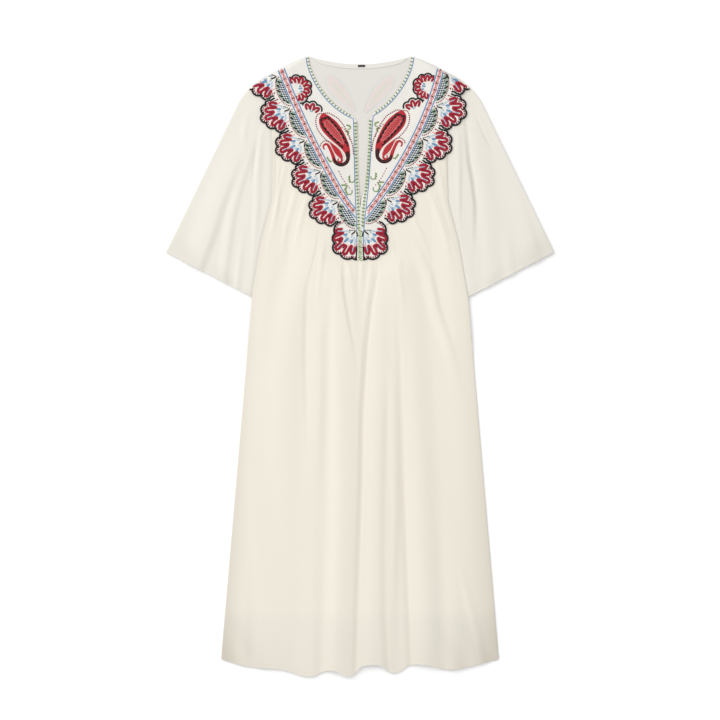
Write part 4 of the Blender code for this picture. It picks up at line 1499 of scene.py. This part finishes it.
for side in (-1, 1):
    for out, down, heading, size, curl in SPRIGS:
        legs = ((9.0 * size, 10.0 * curl), (15.0 * size, 190.0 * curl))
        _, stem = turning_line((out, down), heading, legs, 30)
        sew("green", to_half(side, stem), 1.3, 0.65)
        middles, ways = row_of(to_half(side, stem[:14]), 4.2 * size)
        leaning = left_of(ways) * side + ways
        dashes("green", middles + 0.5 * leaning / 0.8, leaning, 5.6 * size, 1.5, 0.7)
    for out, down, heading, length, turned in RED_LINES:
        _, line = turning_line((out, down), heading, ((length, turned),), 40)
        middles, ways = row_of(to_half(side, line), 5.6)
        dashes("rose", middles, ways, 3.6, 1.05, 0.6)
print("sprigs sewn")

# %% Neck edge and slit
STITCH_PITCH = 7.0
GREEN_SLIT = {
    -1: ((130.0, -8.8), (170.0, -8.2), (247.0, -6.4), (297.0, -3.8), (345.0, -2.8)),
    1: ((126.0, 21.0), (173.0, 19.0), (247.0, 14.6), (297.0, 7.6), (345.0, 5.0)),
}

for side in (-1, 1):
    column = 1 if side < 0 else 2
    corner = side * SLIT[0, column]
    turn = np.linspace(0.015, np.pi / 2.0, 90)
    out = corner + (NECK_HALF - corner) * np.cos(turn)
    edge = np.stack([side * out, front_neck_down(out)], axis=-1)
    line = beside_path(edge, side * 4.9)[1:-1]
    rows = np.array(BLUE_SLIT[side])
    slit_line = smooth_path(rows[:, ::-1], 90)
    sew("line_blue", np.vstack([line, slit_line]), 1.05, 0.7)
    middles, ways = row_of(beside_path(edge, side * 1.7), STITCH_PITCH)
    over = left_of(ways) + 0.25 * ways
    kept = middles[:, 1] > 3.0
    dashes("green", middles[kept], over[kept], 4.6, 1.75, 0.8)
    rows = np.array(GREEN_SLIT[side])
    middles, ways = row_of(smooth_path(rows[:, ::-1], 90), STITCH_PITCH)
    dashes("green", middles, (1.0, 0.15 * side), 6.0, 2.0, 0.9)
    dashes("leaf", middles + (0.0, 3.2), (1.0, -0.2 * side), 4.2, 1.0, 0.5)

downs = np.arange(300.0, 346.0, 7.0)
column = np.stack([np.full_like(downs, 1.2), downs], axis=-1)
dashes("white", column, (1.0, 0.5), 4.0, 1.2, 0.9)
dashes("white", column + (0.0, 3.4), (1.0, -0.5), 4.0, 1.2, 0.9)
# painted shadow: a pale blue-grey dash between each pair of white stitches stands in for their shadow
dashes("mist_and_painted_shadow", column + (0.0, 1.7), (1.0, 0.0), 3.0, 0.9, 0.5)
for index, down in enumerate(np.arange(349.0, 407.0, 3.6).tolist()):
    across = np.linspace(-3.8, 4.6, 12)
    wave = down + 1.3 * np.sin((across - 0.4) * 0.75)
    sew("green" if index % 3 == 0 else "leaf", np.stack([across, wave], axis=-1), 1.25, 0.7)
for side in (-1, 1):
    edge = np.stack([side * np.linspace(6.3, 7.8, 24), np.linspace(379.0, 408.0, 24)], axis=-1)
    sew("black", edge, 1.6, 1.3)
print("neck, slit and column sewn")

# %% [markdown]
# ## Show-through, hem stitches and thread colours
#
# A trace of the back's embroidery shows inside the neck, and one row of stitches holds the hem.
# The threads are shiny rayon and matt cotton. Rayon satin has a soft gleam that runs across
# the strands, so each thread colour gets fine ribs of painted sheen from the coordinates of
# its own stitch: along the path and across it, in real millimetres.

# %% Show-through and hem stitches
# The back's own embroidery lies outside, on the floor side. Its paisleys show through the
# inside of the back as faint patches, so they are only just raised from the linen there.
THROUGH_START, THROUGH_LEGS = (66.0, 38.0), ((45.0, -8.0), (50.0, 12.0))


def inner_face(across, down):
    """Upper face of the back yoke."""
    return 0.97 + 0.0 * (across + down)


for side in (-1, 1):
    s, patch = turning_line(THROUGH_START, -34.0, THROUGH_LEGS, 40)
    patch = patch * (side, 1.0)
    swell = 3.0 + 12.5 * np.sin(np.pi * (s / s[-1]) ** 0.7)
    sew("faint_pink", patch, swell, 0.06, inner_face, points=9, arch=8.0)
    sew("faint_green", patch[6:34], 0.5 * swell[6:34], 0.12, inner_face, points=7)
    for way in (-1.0, 1.0):
        sew("faint_blue", beside_path(patch, way * swell), 1.1, 0.12, inner_face)

# One row of stitches holds the turned-up hem, 8 mm above its edge.
hem_across = np.arange(-272.0, 273.0, 4.2)
hem_row = np.stack([hem_across, hem_down(hem_across) - 8.2], axis=-1)
hem_way = np.gradient(hem_row, axis=0)
dashes("ivory", hem_row, hem_way, 3.0, 0.4, 0.15, front_top)
print("show-through and hem stitches sewn:", len(hem_row))

# %% Thread finishes
STRAND = 0.75           # mm: real strands are 0.3 mm, drawn wider so that they show


def thread(name, light, dark, roughness, turn):
    """Embroidery thread: fine strands at a turn from the stitch's own direction."""
    finish, tree, shader = new_finish(name, roughness, sheen=0.02)
    shader.inputs["Specular IOR Level"].default_value = 0.22
    stitch = add_node(tree, "ShaderNodeUVMap", uv_map="stitch").outputs["UV"]
    turned = add_node(tree, "ShaderNodeMapping", {
        "Vector": stitch, "Rotation": (0.0, 0.0, turn)}).outputs["Vector"]
    strands = stripes(tree, turned, STRAND, "X", Distortion=0.8, Detail=1.0)
    patches = noise(tree, object_place(tree), 420.0, 2.0)
    tone = add_node(tree, "ShaderNodeMath", {0: strands, 1: patches}, operation="MULTIPLY")
    # painted sheen: the light colour along each strand stands in for the satin's gleam, the dark one
    # for the shade between strands
    sheen_and_patches = add_node(tree, "ShaderNodeMapRange", {
        "Value": tone.outputs["Value"], "From Min": 0.05, "From Max": 0.5}).outputs["Result"]
    face(tree, shader, mix(tree, sheen_and_patches, linear(dark), linear(light)), strands, 0.5, 0.2)
    return finish


THREADS = {             # light, dark, roughness, turn of the strands
    "black": ("#1C1C20", "#08080A", 0.6, 0.6),
    "crimson": ("#AE1733", "#7A0A22", 0.5, 0.2),
    "red": ("#C42E37", "#941A24", 0.5, 1.2),
    "rosy": ("#C54A4E", "#A02F36", 0.5, 0.3),
    "rose": ("#991A3A", "#6C0E26", 0.5, 0.0),
    "pink": ("#E59C94", "#CC7A78", 0.55, 0.5),
    "braid": ("#D57F80", "#B45A64", 0.55, 0.5),
    "white": ("#EDEBE4", "#DAD7CE", 0.55, 0.2),
    "blue": ("#789FC0", "#527FA4", 0.5, 1.5),
    "mist_and_painted_shadow": ("#B2C3D2", "#98ADC0", 0.5, 1.5),
    "line_blue": ("#6E92BC", "#5077A6", 0.5, 0.6),
    "navy": ("#1E2738", "#0E141F", 0.55, 1.4),
    "sage": ("#A0B49A", "#7F977D", 0.5, 1.4),
    "green": ("#839C60", "#607C44", 0.5, 1.4),
    "leaf": ("#B9C89A", "#9CB07C", 0.5, 1.4),
    "knot": ("#2C3B34", "#17211C", 0.5, 0.3),
    "ivory": ("#D3CCBE", "#C6BFB0", 0.6, 0.3),
    "faint_pink": ("#DACFC9", "#D5CAC4", 0.85, 0.3),
    "faint_green": ("#D0D0C4", "#CBCBBE", 0.85, 0.3),
    "faint_blue": ("#C6CACC", "#C0C4C6", 0.85, 0.3),
}
print(len(THREADS), "thread colours")

# %% Joining the ribs of each colour
def sewn_mesh(name, ribs):
    """One mesh of many ribs: a tube of quads for each, closed by a cap at both ends, with the
    stitch's own coordinates as a UV map."""
    vertices, threads, quads, caps, count = [], [], [], {}, 0
    for points, thread_places in ribs:
        many, length, around = points.shape[:3]
        index = np.arange(many * length * around).reshape(many, length, around) + count
        ahead = np.roll(index, -1, axis=2)
        quads.append(np.stack([index[:, :-1], index[:, 1:], ahead[:, 1:], ahead[:, :-1]],
                              axis=-1).reshape(-1, 4))
        caps.setdefault(around, []).extend([index[:, 0], index[:, -1, ::-1]])
        vertices.append(points.reshape(-1, 3))
        threads.append(thread_places.reshape(-1, 2))
        count += index.size
    faces = np.vstack(quads).tolist()
    for group in caps.values():
        faces += np.vstack(group).tolist()
    mesh = bpy.data.meshes.new(name)
    mesh.from_pydata(np.vstack(vertices).tolist(), [], faces)
    mesh.shade_smooth()
    corner = np.empty(len(mesh.loops), dtype=np.int64)
    mesh.loops.foreach_get("vertex_index", corner)
    layer = mesh.uv_layers.new(name="stitch")
    layer.data.foreach_set("uv", (np.vstack(threads)[corner]).ravel())
    return mesh


for colour, (light, dark, roughness, turn) in THREADS.items():
    finish = thread(f"embroidery_thread_{colour}", light, dark, roughness, turn)
    mesh = sewn_mesh(f"embroidery_{colour}", SEWN[colour])
    add_piece(f"embroidery_{colour}", mesh, finish)
    print(colour, sum(len(face.vertices) - 2 for face in mesh.polygons), "triangles")

# %% Label tape
# Woven polyester tape, black and slightly shiny along its ribs, with a plain face.
tape, tape_tree, tape_shader = new_finish("black_woven_tape", 0.55)
ribs = stripes(tape_tree, object_place(tape_tree), 0.8 * MM, "Y")
# painted sheen: the lighter black along the ribs stands in for the tape's shine
colour = mix(tape_tree, ribs, linear("#141416"), linear("#2A2A2E"))
tape_tree.links.new(colour, tape_shader.inputs["Base Color"])
label = cloth_panel("neck_label_tape", label_points, 0.5, tape)
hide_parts("neck_label")

# %% Floor
FLOOR_DOWN = 0.0006     # the floor lies a hair below the cloth
FLOOR_HALF = 3.0
floor_finish, _, floor_shader = new_finish("studio_floor", 0.9)
floor_shader.inputs["Base Color"].default_value = (0.93, 0.93, 0.93, 1.0)
corners = np.array([(-1, -1), (1, -1), (1, 1), (-1, 1)]) * FLOOR_HALF
floor_mesh = bpy.data.meshes.new("floor")
floor_mesh.from_pydata([(x, y, -FLOOR_DOWN) for x, y in corners.tolist()], [], [(0, 1, 2, 3)])
floor = add_piece("floor", floor_mesh, floor_finish, rides=False)
floor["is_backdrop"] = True

# %% [markdown]
# ## What each sheet was cut to
#
# Every panel is one sheet of cloth. The front is gathered on to the yoke's seam, so its cut is
# wider than the dress there, and a sleeve's cut counts both its layers, since it goes all
# round. The dress lies flat, so each sheet rests on the floor or on the sheets below it.


print("every panel is one sheet of cloth")

# %% Box, and finish
size = {"cad": cad_box, "visual": [list(corner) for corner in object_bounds()]}
print("size:", size)
